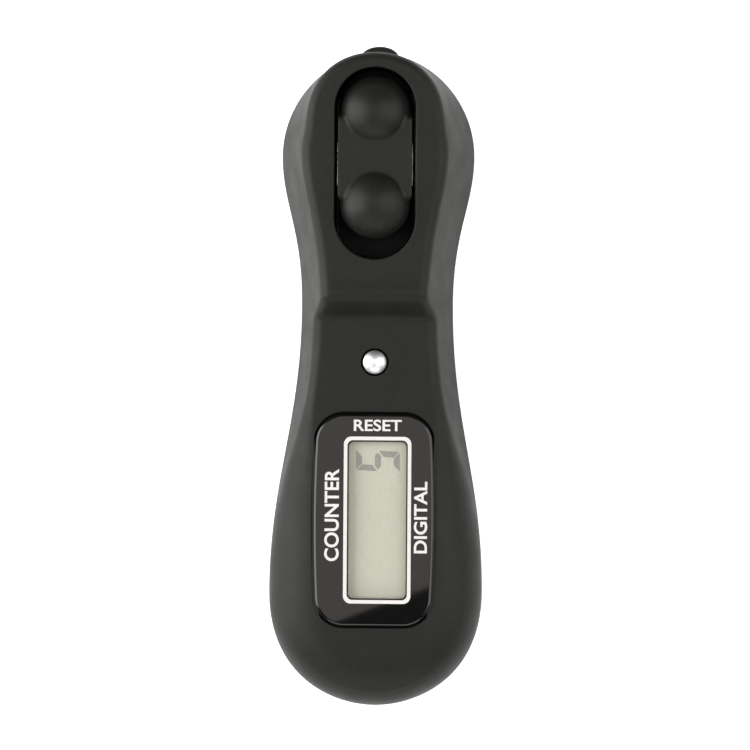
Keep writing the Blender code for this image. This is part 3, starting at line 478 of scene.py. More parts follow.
def makeFrontCasing():
    c = casing
    bm = bmesh.new()
    seamZ = c["seamZ"] + c["seamGap"] / 2
    spacings = (c["rowSpacing"], c["stepSpacing"])
    outerSeam, faceEdge = sideWall(bm, "front", 0.0, seamZ, 7, 8, *spacings)
    innerSeam, innerEdge = sideWall(bm, "front", c["wall"], seamZ, 3, 4, *spacings)
    joinRings(bm, outerSeam, innerSeam)
    innerHeight = lambda x, y: faceHeight(x, y) - c["wall"]
    slot = lambda grow: obround(c["slotHalf"] + grow, c["slotLowY"] - grow, c["slotHighY"] + grow)
    reset = lambda grow: circle(c["resetHole"] + grow, 0.0, resetY)
    recess = lambda grow: bezelOutline(bezel["groove"] + grow)
    slotTop, slotRing = roundedHole(bm, slot, c["slotRim"], faceHeight)
    resetTop, resetRing = roundedHole(bm, reset, c["resetRim"], faceHeight, 4)
    recessTop, recessRing = roundedHole(bm, recess, c["bezelRim"], faceHeight, 4)
    slotLow = ringOf(bm, slot(0), innerHeight)
    resetLow = ringOf(bm, reset(0), innerHeight)
    firstWall = len(bm.faces)
    joinRings(bm, slotRing, slotLow)
    joinRings(bm, resetRing, resetLow)
    floorZ = nodeBox("display_bezel")[0].z - c["bezelSeatGap"]
    floorRing = ringOf(bm, recess(0), lambda x, y: floorZ)
    joinRings(bm, recessRing, floorRing)
    low, high = nodeBox("lcd_front_glass")
    gap = c["glassGap"]
    opening = [(low.x - gap, low.y - gap), (high.x + gap, low.y - gap), (high.x + gap, high.y + gap),
               (low.x - gap, high.y + gap)]
    openTop = ringOf(bm, opening, lambda x, y: floorZ)
    openLow = ringOf(bm, opening, innerHeight)
    joinRings(bm, openTop, openLow)
    fillPlan(bm, floorRing, [openTop], np.zeros((0, 2)), lambda x, y: floorZ, 0.1)
    # painted shade: the walls of the slot, the reset hole, the bezel recess and the display opening, and the
    # recess floor, take the darker black
    for wall in list(bm.faces)[firstWall:]:
        wall.material_index = 1
    coarse, fine = 0.7, 0.22   # spacing of the points on the face, closer together at the step
    columns = np.arange(-16, 16.01, coarse)
    stretches = ((-54, 6.6, coarse), (6.7, 17, fine), (17.2, 54, coarse))
    rows = np.concatenate([np.arange(*stretch) for stretch in stretches])
    fillPlan(bm, faceEdge, [slotTop, resetTop, recessTop], gridPoints(columns, rows), faceHeight, 0.2)
    inside = gridPoints(columns[::2], rows[::2])
    fillPlan(bm, innerEdge, [slotLow, resetLow, openLow], inside, innerHeight, 0.3)
    return makeObject("frontCasing", bm, "casing", [matteBlack, paintedShadeBlack])


resetLowBox, resetHighBox = nodeBox("reset_button")
resetY = (resetLowBox.y + resetHighBox.y) / 2
frontCasing = makeFrontCasing()
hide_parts("front_shell")
print("front casing:", len(frontCasing.data.polygons), "faces")


def spinProfile(profile, steps=72):
    # a closed turned body about Z; the profile is (radius, z) from the axis round to the axis again
    bm = bmesh.new()
    rings = []
    for r, z in profile:
        if r < 1e-6:
            rings.append([bm.verts.new((0, 0, z))])
        else:
            turns = [math.tau * (i + 0.3) / steps for i in range(steps)]
            rings.append([bm.verts.new((r * math.cos(turn), r * math.sin(turn), z)) for turn in turns])
    for first, second in zip(rings, rings[1:]):
        for i in range(steps):
            j = (i + 1) % steps
            places = ((first, i), (first, j), (second, j), (second, i))
            corners = [ring[k % len(ring)] for ring, k in places]
            bm.faces.new(list(dict.fromkeys(corners)))
    return bm


def cylinder(radius, low, high, steps=72):
    return spinProfile([(0, low), (radius, low), (radius, high), (0, high)], steps)


def prismOf(points, low, high):
    bm = bmesh.new()
    bottom = [bm.verts.new((x, y, low)) for x, y in points]
    top = [bm.verts.new((x, y, high)) for x, y in points]
    bm.faces.new(bottom)
    bm.faces.new(top)
    joinRings(bm, bottom, top)
    return bm


def rimmed(radius, top, rim=0.25, low=-1.0):
    # cutter with a flare that rounds the edge of the hole it makes in the flat back
    flare = radius + rim + 0.6
    profile = [(0, low), (flare, low), (flare, -0.02)]
    profile += [(radius + inset, drop) for inset, drop in quarterRound(rim, 6)]
    return spinProfile(profile + [(radius, top), (0, top)])


def carve(target, bm, place=(0, 0, 0), operation="DIFFERENCE"):
    bmesh.ops.translate(bm, vec=place, verts=bm.verts)
    tool = makeObject("carveTool", bm, None, [])
    mod = target.modifiers.new("carve", "BOOLEAN")
    mod.operation = operation
    mod.solver = "EXACT"
    mod.object = tool
    graph = bpy.context.evaluated_depsgraph_get()
    mesh = bpy.data.meshes.new_from_object(target.evaluated_get(graph))
    target.modifiers.clear()
    old = target.data
    target.data = mesh
    bpy.data.meshes.remove(old)
    bpy.data.objects.remove(tool)


back = {
    "wall": 2.0, "seatLow": 0.5, "seatThick": 2.4, "seatR": 10.6,
    "coverY": -32.0, "coverSeatR": 9.3, "coverSeatDeep": 1.15,
    "hubR": 7.7, "tabR": 9.2, "tabHalfTurn": 15.0, "tabTurn": 130.0, "holeLow": 0.9, "holeHigh": 3.4,
    "wellR": 2.0, "wellDeep": 4.6, "wellWall": 0.7, "wellRim": 0.2, "postLow": 1.95,
    "boreR": 1.15, "boreUnder": 0.5, "flatHalf": 5.0, "spacing": 0.7,
    "screws": ((0.0, -48.4), (0.0, 12.4), (-9.8, 40.0), (9.8, 40.0)),
}

lug = {
    "half": 3.25, "tip": 55.0, "root": 51.4, "side": 1.4, "sunk": 1.5, "tipPower": 0.9,
    "low": 3.6, "high": 8.6, "eye": 0.85, "eyeY": 53.2, "eyeHalf": 5.0, "round": 0.7,
}


def lugOutline(steps=28):
    # a tab with straight sides at its root and a round tip
    u = lug
    shoulder = u["root"] + u["side"]
    points = [(u["half"], u["root"] - u["sunk"]), (u["half"], shoulder)]
    for i in range(1, steps):
        angle = math.pi * i / steps
        rise = (u["tip"] - shoulder) * math.sin(angle) ** u["tipPower"]
        points.append((u["half"] * math.cos(angle), shoulder + rise))
    return points + [(-u["half"], shoulder), (-u["half"], u["root"] - u["sunk"])]


def lugBody():
    # the tab's outline, drawn in at the top and bottom so that its edges are round
    u = lug
    outline = np.array(lugOutline())
    above = outline[:, 1] > u["root"]
    reach = u["tip"] - u["root"]
    layers = [(u["low"] + drop, inset) for inset, drop in quarterRound(u["round"], 6)]
    upper = [(u["low"] + u["high"] - z, inset) for z, inset in reversed(layers)]
    bm = bmesh.new()
    rings = []
    for z, inset in layers + upper:
        shrunk = outline.copy()
        shrunk[:, 0] *= (u["half"] - inset) / u["half"]
        shrunk[above, 1] = u["root"] + (shrunk[above, 1] - u["root"]) * (reach - inset) / reach
        rings.append([bm.verts.new((x, y, z)) for x, y in shrunk])
    joinStack(bm, rings)
    bm.faces.new(rings[0])
    bm.faces.new(rings[-1])
    bmesh.ops.recalc_face_normals(bm, faces=bm.faces)
    return bm


def bayonetOutline(hub, tab, halfTurn, turn, tabSteps=12, hubSteps=48):
    # a round hub with a tab on each side
    points = []
    for centre in (turn, turn + 180):
        for i in range(tabSteps + 1):
            angle = math.radians(centre + halfTurn * (2 * i / tabSteps - 1))
            points.append((tab * math.cos(angle), tab * math.sin(angle)))
        for i in range(hubSteps + 1):
            angle = math.radians(centre + halfTurn + (180 - 2 * halfTurn) * i / hubSteps)
            points.append((hub * math.cos(angle), hub * math.sin(angle)))
    return points


def makeBackCasing():
    c, b = casing, back
    bm = bmesh.new()
    seamZ = c["seamZ"] - c["seamGap"] / 2
    spacings = (b["spacing"], b["spacing"])
    outerSeam, flatEdge = sideWall(bm, "back", 0.0, seamZ, 4, 14, *spacings)
    innerSeam, innerEdge = sideWall(bm, "back", b["wall"], seamZ, 3, 4, *spacings)
    joinRings(bm, outerSeam, innerSeam)
    points = gridPoints(np.arange(-14, 14.1, 2 * b["spacing"]), np.arange(-54, 54, 2 * b["spacing"]))
    fillPlan(bm, flatEdge, [], points, lambda x, y: 0.0, 0.3)
    fillPlan(bm, innerEdge, [], points, lambda x, y: b["wall"], 0.3)
    shell = makeObject("backCasing", bm, "casing", matteBlack)
    carve(shell, cylinder(b["seatR"], b["seatLow"], b["seatThick"]), (0, b["coverY"], 0), "UNION")
    for x, y in b["screws"]:
        # the post starts under the inner skin, and still inside the round of the back
        post = cylinder(b["wellR"] + b["wellWall"], b["postLow"], seamZ, 40)
        carve(shell, post, (x, y, 0), "UNION")
    carve(shell, lugBody(), (0, 0, 0), "UNION")
    eye = cylinder(lug["eye"], -lug["eyeHalf"], lug["eyeHalf"], 40)
    bmesh.ops.rotate(eye, cent=(0, 0, 0), matrix=Matrix.Rotation(math.pi / 2, 3, "Y"), verts=eye.verts)
    carve(shell, eye, (0, lug["eyeY"], (lug["low"] + lug["high"]) / 2))
    carve(shell, rimmed(b["coverSeatR"], b["coverSeatDeep"]), (0, b["coverY"], 0))
    hole = bayonetOutline(b["hubR"], b["tabR"], b["tabHalfTurn"], b["tabTurn"])
    carve(shell, prismOf(hole, b["holeLow"], b["holeHigh"]), (0, b["coverY"], 0))
    for x, y in b["screws"]:
        if abs(x) < b["flatHalf"]:
            well = rimmed(b["wellR"], b["wellDeep"], b["wellRim"])
        else:
            well = cylinder(b["wellR"], -1, b["wellDeep"], 48)
        carve(shell, well, (x, y, 0))
        carve(shell, cylinder(b["boreR"], b["wellDeep"] - b["boreUnder"], seamZ + 1, 32), (x, y, 0))
    shade(shell.data)
    return shell


backCasing = makeBackCasing()
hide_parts("back_shell")
print("back casing:", len(backCasing.data.polygons), "faces")


rocker = {
    "y": 35.7, "top": 25.3, "low": 19.65, "webHalf": 6.08,
    "tuckFrom": 6.2, "tuckTo": 7.5, "fall": 1.4, "leastWall": 1.0,
    "dome": 5.78, "arm": 7.52, "crest": 27.78, "capR": 6.25, "fillet": 0.16, "edge": 0.22,
    "skirtHalf": 6.2, "skirtLow": 19.7, "skirtHigh": 20.5, "skirtGap": 0.3,
    "stem": 1.2, "stemLow": 17.95, "stemSunk": 0.2,
}

webShoulder = {
    "half": 3.5, "radius": 0.1, "endRadius": 0.09, "end": 0.05, "taper": 0.4,
    "proud": 0.04, "aside": -1.25, "under": 0.5,
}


def rockerWebHalf(y):
    r = rocker
    meet = math.sqrt(r["dome"] ** 2 - (r["tuckTo"] - r["arm"]) ** 2)
    tuck = smoothStep((abs(y) - r["tuckFrom"]) / (r["tuckTo"] - r["tuckFrom"]))
    return r["webHalf"] - (r["webHalf"] - meet) * tuck


def rockerOutline(inset):
    # straight web sides that tuck in to meet the two round pads
    r = rocker
    start = math.asin((r["tuckTo"] - r["arm"]) / r["dome"])
    sides = np.linspace(-r["tuckTo"], r["tuckTo"], 60)
    points = [(float(rockerWebHalf(y)) - inset, y) for y in sides]
    turns = np.linspace(start, math.pi - start, 90)[1:-1]
    radius = r["dome"] - inset
    points += [(radius * math.cos(t), r["arm"] + radius * math.sin(t)) for t in turns]
    points += [(-x, -y) for x, y in points]
    return [(x, y + r["y"]) for x, y in points]


def rockerHeight(x, y):
    # the web's level and the pad's sphere, run together with a fillet
    r = rocker
    away = abs(y - r["y"])
    web = r["top"] - r["fall"] * smoothStep((away - r["tuckFrom"]) / (r["tuckTo"] - r["tuckFrom"]))
    reach = np.hypot(x, away - r["arm"])
    held = np.minimum(reach, r["dome"])
    ball = r["crest"] - r["capR"] + np.sqrt(r["capR"] ** 2 - held ** 2) - 4 * (reach - held)
    near = np.maximum(r["fillet"] - np.abs(web - ball), 0) / r["fillet"]
    return np.maximum(web, ball) + near ** 2 * r["fillet"] / 4


def makeRocker():
    r = rocker
    bm = bmesh.new()
    edgeHeight = lambda x, y: max(rockerHeight(x, y), r["low"] + r["leastWall"])
    rings = [ringOf(bm, rockerOutline(inset), edgeHeight, drop) for inset, drop in quarterRound(r["edge"], 5)]
    joinStack(bm, rings)
    polar = []
    for reach in np.linspace(0.35, r["dome"] - 0.3, 20):
        count = max(8, int(reach * 2 * math.pi / 0.36))
        for i in range(count):
            turn = math.tau * i / count
            for side in (-1, 1):
                polar.append((reach * math.cos(turn), side * (r["arm"] + reach * math.sin(turn)) + r["y"]))
    web = gridPoints(np.arange(-6.0, 6.01, 0.3), r["y"] + np.arange(-7.2, 7.21, 0.3))
    inPad = np.hypot(web[:, 0], np.abs(web[:, 1] - r["y"]) - r["arm"]) < r["dome"] - 0.2
    extra = np.vstack([np.array(polar), web[~inPad]])
    fillPlan(bm, rings[0], [], extra, rockerHeight, 0.1)
    low = ringOf(bm, rockerOutline(0), lambda x, y: r["low"])
    joinRings(bm, rings[-1], low)
    bm.faces.new(low)
    pad = makeObject("rockerPad", bm, "rocker", padBlack, sharp=60)
    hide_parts("count_rocker")
    # painted shade: the skirt seen in the slot's gap is in the darker black
    gap = r["skirtGap"]
    ring = obround(r["skirtHalf"], casing["slotLowY"] + gap, casing["slotHighY"] - gap)
    skirt = makeObject("rockerSkirt", prismOf(ring, r["skirtLow"], r["skirtHigh"]), "rocker", paintedShadeBlack)
    # painted highlight: thin bright metal bars along the web's sides stand in for the glints of its plastic
    # edges
    w = webShoulder
    ends = [(0, w["half"]), (w["endRadius"], w["half"] - w["end"]), (w["radius"], w["half"] - w["taper"])]
    profile = [(reach, -run) for reach, run in ends] + ends[::-1]
    for name, side in (("webShoulderLeft", -1), ("webShoulderRight", 1)):
        bm = spinProfile(profile, 16)
        bmesh.ops.rotate(bm, cent=(0, 0, 0), matrix=Matrix.Rotation(math.pi / 2, 3, "X"), verts=bm.verts)
        place = (side * (r["webHalf"] + w["proud"]), r["y"] + w["aside"], r["top"] - w["under"])
        bmesh.ops.translate(bm, vec=place, verts=bm.verts)
        makeObject(name, bm, "rocker", glintSteel)
    for name, side in (("rockerStemUp", 1), ("rockerStemDown", -1)):
        bm = cylinder(r["stem"], r["stemLow"], r["low"] + r["stemSunk"], 40)
        bmesh.ops.translate(bm, vec=(0, r["y"] + side * r["arm"], 0), verts=bm.verts)
        makeObject(name, bm, "rocker", padBlack)


pivotEar = {"size": (1.6, 3.8, 5.0), "x": 7.73, "z": 21.5, "edge": 0.2}


def makePivotEars():
    bm = bmesh.new()
    for side in (-1, 1):
        ear = bmesh.ops.create_cube(bm, size=1.0)["verts"]
        bmesh.ops.scale(bm, vec=pivotEar["size"], verts=ear)
        bmesh.ops.translate(bm, vec=(side * pivotEar["x"], rocker["y"], pivotEar["z"]), verts=ear)
    bmesh.ops.bevel(bm, geom=bm.edges[:], offset=pivotEar["edge"], segments=2, affect="EDGES")
    makeObject("pivotEars", bm, "casing", matteBlack)


resetCap = {"radius": 1.95, "proud": 1.0, "flange": 0.95, "flangeTall": 0.4, "start": 0.98, "steps": 24}


def makeResetButton():
    q = resetCap
    radius, proud = q["radius"], q["proud"]
    low, high = resetLowBox.z, resetHighBox.z
    edge, flangeR, flangeTop = high - proud, radius + q["flange"], low + q["flangeTall"]
    ball = (radius ** 2 + proud ** 2) / (2 * proud)
    spread = math.asin(radius / ball)
    profile = [(0, low), (flangeR, low), (flangeR, flangeTop), (radius, flangeTop),
               (radius, edge - 0.12), (radius - 0.03, edge - 0.02)]
    for i in range(q["steps"]):
        angle = spread * (q["start"] - i / q["steps"])
        profile.append((ball * math.sin(angle), high - ball * (1 - math.cos(angle))))
    profile.append((0, high))
    bm = spinProfile(profile, 96)
    for face in bm.faces:
        if face.calc_center_median().z < flangeTop + 0.1:
            face.material_index = 1   # the flange, in the darker black as painted shade, shows only as a dark ring
    bmesh.ops.translate(bm, vec=(0, resetY, 0), verts=bm.verts)
    dome = makeObject("resetDome", bm, "reset", [chromed, paintedShadeBlack], sharp=50)
    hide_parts("reset_button")


def roundedRect(half, longHalf, corner, x=0.0, y=0.0, steps=8):
    points = []
    for sx, sy, start in ((1, 1, 0), (-1, 1, 90), (-1, -1, 180), (1, -1, 270)):
        for i in range(steps + 1):
            angle = math.radians(start + 90 * i / steps)
            points.append((x + sx * (half - corner) + corner * math.cos(angle),
                           y + sy * (longHalf - corner) + corner * math.sin(angle)))
    return points


def makeBezel():
    b = bezel
    top = nodeBox("display_bezel")[1].z
    level = lambda x, y: top
    sizes = (b["windowHalf"], b["windowLong"], b["windowRound"])
    opening = lambda grow: roundedRect(*(size + grow for size in sizes), b["windowX"], b["centreY"])
    bm = bmesh.new()
    # a flat ring inside the rim, and another round the opening, keep the polished face truly flat
    rings = [ringOf(bm, bezelOutline(-b["edge"][0][0] - b["flatBand"]), level)]
    rings += [ringOf(bm, bezelOutline(-inset), level, drop) for inset, drop in b["edge"]]
    joinStack(bm, rings)
    low = ringOf(bm, bezelOutline(0), level, b["thick"])
    joinRings(bm, rings[-1], low)
    innerFlat = ringOf(bm, opening(b["windowEdge"] + b["flatBand"]), level)
    innerTop = ringOf(bm, opening(b["windowEdge"]), level)
    innerEdge = ringOf(bm, opening(0), level, b["windowEdge"])
    innerLow = ringOf(bm, opening(0), level, b["thick"])
    joinStack(bm, [innerFlat, innerTop, innerEdge])
    # painted light: the window's walls are grey, not the bezel's black, so they bounce light into the shade
    # they cast on the display
    firstWall = len(bm.faces)
    joinRings(bm, innerEdge, innerLow)
    for wall in list(bm.faces)[firstWall:]:
        wall.material_index = 1
    none = np.zeros((0, 2))
    fillPlan(bm, rings[0], [innerFlat], none, level, 0.1)
    fillPlan(bm, low, [innerLow], none, lambda x, y: top - b["thick"], 0.1)
    frontBezel = makeObject("displayBezel", bm, "casing", [glossBlack, digitGrey])
    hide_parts("display_bezel")


printing = {
    "raised": 0.02, "sunk": 0.05,
    "lineOuter": 5.56, "lineOuterLong": 13.75, "lineOuterRound": 1.25,
    "lineInner": 4.98, "lineInnerLong": 13.15, "lineInnerRound": 0.92,
    "words": {
        "wordReset": {"word": "RESET", "x": bezel["windowX"], "y": -8.3, "long": 7.9, "tall": 1.9, "turn": 0,
                      "bold": 0.018},
        "wordCounter": {"word": "COUNTER", "x": -6.9, "y": -23.1, "long": 15.2, "tall": 2.4, "turn": 90,
                        "bold": 0.02},
        "wordDigital": {"word": "DIGITAL", "x": 7.75, "y": -23.4, "long": 11.8, "tall": 2.2, "turn": 90,
                        "bold": 0.02},
    },
}


def printWord(name, word, x, y, long, tall, turn, bold):
    # a raised printed word, centred on a point of the bezel, long along its reading direction
    data = bpy.data.curves.new(name, "FONT")
    data.body = word
    data.extrude = 0.01
    data.offset = bold
    thing = bpy.data.objects.new(name + "Curve", data)
    bpy.context.scene.collection.objects.link(thing)
    graph = bpy.context.evaluated_depsgraph_get()
    graph.update()
    mesh = bpy.data.meshes.new_from_object(thing.evaluated_get(graph))
    bpy.data.objects.remove(thing)
    bm = bmesh.new()
    bm.from_mesh(mesh)
    bpy.data.meshes.remove(mesh)
    bmesh.ops.remove_doubles(bm, verts=bm.verts, dist=0.0001)
    places = np.array([v.co[:] for v in bm.verts])
    low, high = places.min(0), places.max(0)
    top = nodeBox("display_bezel")[1].z
    cosine, sine = math.cos(math.radians(turn)), math.sin(math.radians(turn))
    for v in bm.verts:
        u = (v.co.x - (low[0] + high[0]) / 2) * long / (high[0] - low[0])
        w = (v.co.y - (low[1] + high[1]) / 2) * tall / (high[1] - low[1])
        lift = top + (printing["raised"] if v.co.z > 0 else -printing["sunk"])
        v.co = (x + u * cosine - w * sine, y + u * sine + w * cosine, lift)
    return makeObject(name, bm, "casing", whiteInk, sharp=30)


def makePrinting():
    q = printing
    top = nodeBox("display_bezel")[1].z
    x, y = bezel["windowX"], bezel["centreY"]
    bm = bmesh.new()
    outer = roundedRect(q["lineOuter"], q["lineOuterLong"], q["lineOuterRound"], x, y)
    inner = roundedRect(q["lineInner"], q["lineInnerLong"], q["lineInnerRound"], x, y)
    walk = ((outer, q["sunk"]), (outer, -q["raised"]), (inner, -q["raised"]), (inner, q["sunk"]))
    loops = [ringOf(bm, outline, lambda a, b: top, drop) for outline, drop in walk]
    joinStack(bm, loops + loops[:1])
    makeObject("windowLine", bm, "casing", whiteInk, sharp=30)
    for name, values in q["words"].items():
        printWord(name, **values)


# one figure of the display: reading direction +Y, its top towards -X
figure = {
    "low": -4.2, "high": 3.0, "start": -16.05, "end": -12.65,
    "bar": 1.0, "gap": 0.15, "slant": 0.05, "bottom": 0.002, "lift": 0.02,
}


def barShapes():
    # the five bars that make a 5, each as (along, up) points
    f = figure
    wide, tall, t, g = f["end"] - f["start"], f["high"] - f["low"], f["bar"], f["gap"]
    mid, blunt = tall / 2, t * 0.8
    left, right = g + t * 0.7, wide - g - t * 0.7
    level = lambda v0, v1: [(g, v0), (wide - g, v0), (wide - g - t, v1), (g + t, v1)]
    upright = lambda u0, u1, v0, v1: [(u0, v0 + g), (u0, v1 - g), (u1, v1 - g - blunt), (u1, v0 + g + blunt)]
    middle = [(g + t * 0.2, mid), (left, mid + t / 2), (right, mid + t / 2),
              (wide - g - t * 0.2, mid), (right, mid - t / 2), (left, mid - t / 2)]
    return (level(tall, tall - t), upright(0, t, mid, tall), middle, upright(wide, wide - t, 0, mid),
            level(0, t))


def makeFigure():
    f = figure
    glass = nodeBox("lcd_front_glass")[1].z
    bm = bmesh.new()
    for bar in barShapes():
        shape = [(-(f["low"] + v), f["start"] + u + f["slant"] * v) for u, v in bar]
        low = [bm.verts.new((x, y, glass + f["bottom"])) for x, y in shape]
        high = [bm.verts.new((x, y, glass + f["lift"])) for x, y in shape]
        bm.faces.new(low)
        bm.faces.new(high)
        joinRings(bm, low, high)
    makeObject("displayFigure", bm, "casing", digitGrey, sharp=30)


cover = {
    "y": -32.0, "r": 9.0, "inset": 0.25, "flange": 1.05, "hub": 7.4, "high": 3.3, "edge": 0.25,
    "panelR": 5.9, "panelDeep": 0.1, "panelSlope": 0.2,
    "tab": 8.9, "tabHub": 7.2, "tabHalfTurn": 12.0, "tabTurn": 90.0, "tabLow": 2.6,
    "slotHalf": 5.0, "slotWide": 0.9, "slotDeep": 0.55,
    "dimpleR": 0.5, "dimpleRing": 7.5, "dimpleDeep": 0.3, "dimpleMiddle": 0.5,
}


def makeBatteryCover():
    c = cover
    panelZ = c["inset"] + c["panelDeep"]
    profile = [(0, panelZ), (c["panelR"], panelZ), (c["panelR"] + c["panelSlope"], c["inset"])]
    profile += [(c["r"] - inset, c["inset"] + drop) for inset, drop in quarterRound(c["edge"], 5)]
    profile += [(c["r"], c["flange"]), (c["hub"], c["flange"]), (c["hub"], c["high"]), (0, c["high"])]
    lid = makeObject("batteryLid", spinProfile(profile, 120), "cover", matteBlack)
    tabs = bayonetOutline(c["tabHub"], c["tab"], c["tabHalfTurn"], c["tabTurn"])
    carve(lid, prismOf(tabs, c["tabLow"], c["high"] + 0.05), (0, 0, 0), "UNION")
    half = c["slotHalf"]
    lying = [(y, x) for x, y in obround(c["slotWide"], -half, half, 16)]
    carve(lid, prismOf(lying, -1, c["inset"] + c["slotDeep"]))
    r, ring = c["dimpleR"], c["dimpleRing"]
    dimple = [(0, -1), (r, -1), (r, c["inset"] + c["dimpleDeep"]), (0, c["inset"] + c["dimpleMiddle"])]
    for turn in range(0, 360, 30):
        if turn % 90:
            angle = math.radians(turn)
            carve(lid, spinProfile(dimple, 24), (ring * math.cos(angle), ring * math.sin(angle), 0))
    shade(lid.data)
    lid.data.transform(Matrix.Translation((0, c["y"] * mm, 0)))
    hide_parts("battery_cover")


caseScrew = {
    "headR": 1.7, "headTall": 1.3, "domeTall": 0.975, "domeSteps": 8,
    "shankR": 0.85, "tip": 0.8, "tipR": 0.15,
    "blade": (2.1, 0.5, 2.0), "bladeUnder": 0.3, "turn": 0.4,
}


def makeCaseScrews():
    # pan heads with a cross recess, seen in their wells in the back
    s = caseScrew
    headR, shankR, steps = s["headR"], s["shankR"], s["domeSteps"]
    for i, (x, y) in enumerate(back["screws"], 1):
        low, high = (corner.z for corner in nodeBox(f"case_screw_{i}"))
        seat = low + s["headTall"]
        profile = [(0, low)]
        for k in range(1, steps + 1):
            angle = math.pi / 2 * k / steps
            profile.append((headR * math.sin(angle), low + s["domeTall"] * (1 - math.cos(angle))))
        profile += [(headR, seat), (shankR, seat), (shankR, high - s["tip"]), (s["tipR"], high), (0, high)]
        screw = makeObject(f"caseScrew{i}", spinProfile(profile, 48), "casing", steel)
        for turn in (s["turn"], s["turn"] + math.pi / 2):
            blade = bmesh.new()
            bmesh.ops.create_cube(blade, size=1.0)
            bmesh.ops.scale(blade, vec=s["blade"], verts=blade.verts)
            spin = Matrix.Rotation(turn, 3, "Z")
            bmesh.ops.rotate(blade, cent=(0, 0, 0), matrix=spin, verts=blade.verts)
            carve(screw, blade, (0, 0, low - s["bladeUnder"]))
        shade(screw.data)
        screw.data.transform(Matrix.Translation((x * mm, y * mm, 0)))
        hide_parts(f"case_screw_{i}")


makeRocker()
makePivotEars()
print("rocker made")
makeResetButton()
makeBezel()
makePrinting()
makeFigure()
print("display and button made")
makeBatteryCover()
makeCaseScrews()
print("battery cover and screws made")


# the solid pieces that show as they are
def useMaterial(names, mat):
    for name in names:
        mesh = nodes[name].data
        mesh.materials.clear()
        mesh.materials.append(mat)


useMaterial(["display_window"], clearWindow)
useMaterial(["lcd_front_glass", "lcd_rear_glass"], lcdPolariser)
useMaterial(["lcd_reflector"], foilGrey)
useMaterial(["zebra_strip"], zebraRubber)
useMaterial(["main_board"], solderMask)
useMaterial(["chip_blob"], epoxyBlack)
useMaterial(["capacitor_1", "capacitor_2"], ceramicTan)
useMaterial(["resistor_1"], resistorBlack)
switchNames = ["up", "down", "reset"]
useMaterial([f"{n}_switch_base" for n in switchNames] + ["battery_holder", "lcd_frame"], nylonWhite)
useMaterial([f"{n}_switch_cover" for n in switchNames] + ["button_cell"], steel)
useMaterial(["rocker_pin"], darkSteel)
useMaterial([f"{n}_plunger" for n in switchNames], resistorBlack)
useMaterial(["contact_negative", "contact_positive"], nickel)
useMaterial([f"board_screw_{i}" for i in (1, 2, 3, 4)], steel)

# in metres and degrees
studio = {
    "floorGlow": 0.62, "floorHalf": 1.5, "floorZ": -0.0002, "worldStrength": 0.14,
    "cameraAway": 0.75, "cameraTiltX": 2.4, "roll": 0.4, "frameWidth": 0.12509, "aimX": -0.00033,
    "aim": (0, 0, 0.01),
    "cardTurn": 21, "cardEdge": (-0.0634, -0.1155, 1.5), "cardSize": (0.9, 0.6),
    "cardRadiance": 1.22, "cardTint": (1.0, 0.95, 0.9),
}

softboxes = {
    "leftSoftbox": {"place": (-0.55, 0.05, 0.3), "size": (0.6, 0.8), "radiance": 4.9},
    "rightSoftbox": {"place": (0.45, 0.05, 0.5), "size": (0.6, 0.8), "radiance": 2.6},
    "tailSoftbox": {"place": (0.0, -0.6, 0.35), "size": (0.8, 0.4), "radiance": 2.0},
}


def softbox(name, place, aim, size, radiance, roll=0.0, tint=(1.0, 1.0, 1.0)):
    # area light with a stated radiance; its power follows from its size
    lamp = bpy.data.lights.new(name, "AREA")
    lamp.color = tint
    lamp.shape = "RECTANGLE"
    lamp.size, lamp.size_y = size
    lamp.energy = radiance * math.pi * size[0] * size[1]
    thing = bpy.data.objects.new(name, lamp)
    facing = (Vector(aim) - Vector(place)).to_track_quat("-Z", "Y").to_matrix()
    thing.matrix_world = Matrix.Translation(place) @ (facing @ Matrix.Rotation(roll, 3, "Z")).to_4x4()
    bpy.context.scene.collection.objects.link(thing)


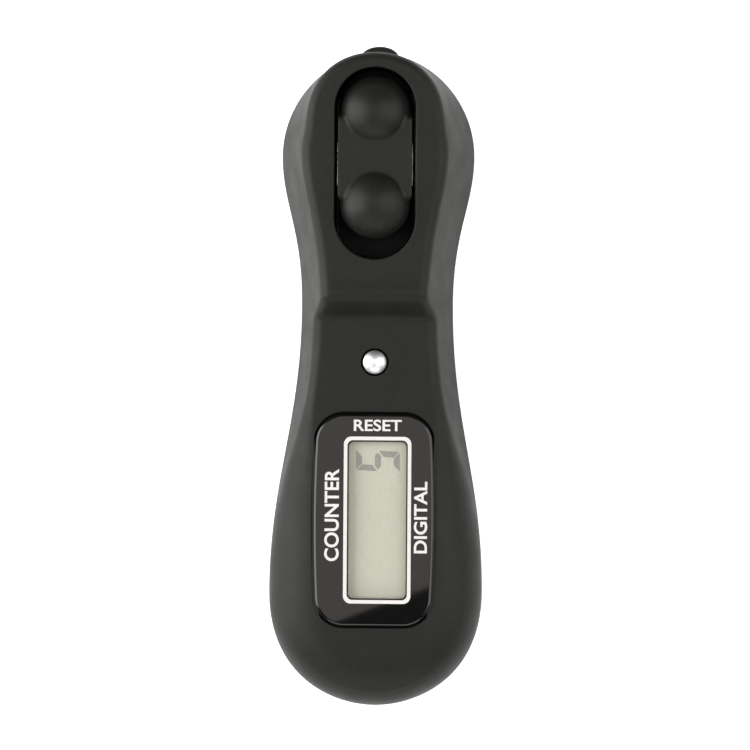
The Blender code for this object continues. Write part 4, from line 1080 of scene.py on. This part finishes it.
def makeFloor():
    s = studio
    floorMat, tree, links, shader = newMaterial("paleFloor", (0.86, 0.86, 0.86), 0.9)
    shader.inputs["Emission Color"].default_value = (1, 1, 1, 1)
    shader.inputs["Emission Strength"].default_value = s["floorGlow"]
    noise = addNoise(tree, links, 40, 2)
    varyColour(tree, links, shader, noise, (0.85, 0.85, 0.85), (0.87, 0.87, 0.87))
    bm = bmesh.new()
    bmesh.ops.create_grid(bm, x_segments=4, y_segments=4, size=s["floorHalf"])
    bmesh.ops.translate(bm, vec=(0, 0, s["floorZ"]), verts=bm.verts)
    makeObject("studioFloor", bm, None, floorMat, scaled=False)


def makeWorld():
    world = bpy.data.worlds.new("studioWorld")
    world.use_nodes = True
    background = world.node_tree.nodes["Background"]
    background.inputs["Color"].default_value = (1, 1, 1, 1)
    background.inputs["Strength"].default_value = studio["worldStrength"]
    bpy.context.scene.world = world


def makeLights():
    s = studio
    for name, values in softboxes.items():
        softbox(name, aim=s["aim"], **values)
    # its lower edge is what ends the reflection in the glossy bezel, in the corner by the tail
    turn = math.radians(s["cardTurn"])
    edge = Vector(s["cardEdge"])
    centre = edge + Vector((-math.sin(turn), math.cos(turn), 0)) * s["cardSize"][1] / 2
    under = centre - Vector((0, 0, 1))
    softbox("overheadCard", centre, under, s["cardSize"], s["cardRadiance"], turn, s["cardTint"])


def makeCamera():
    s = studio
    scene = bpy.context.scene
    data = bpy.data.cameras.new("mainCamera")
    camera = bpy.data.objects.new("mainCamera", data)
    scene.collection.objects.link(camera)
    tilt = math.radians(s["cameraTiltX"])
    away = s["cameraAway"]
    target = Vector((s["aimX"], 0.0, casing["seamZ"] * mm))
    camera.location = target + Vector((math.sin(tilt), 0, math.cos(tilt))) * away
    turn = Matrix.Rotation(tilt, 3, "Y") @ Matrix.Rotation(math.radians(s["roll"]), 3, "Z")
    camera.rotation_euler = turn.to_euler()
    data.sensor_width = 36
    data.lens = data.sensor_width * away / s["frameWidth"]
    data.clip_start = 0.01
    scene.camera = camera


bpy.context.scene.view_settings.view_transform = "Standard"
makeFloor()
makeWorld()
makeLights()
makeCamera()
print("studio ready")
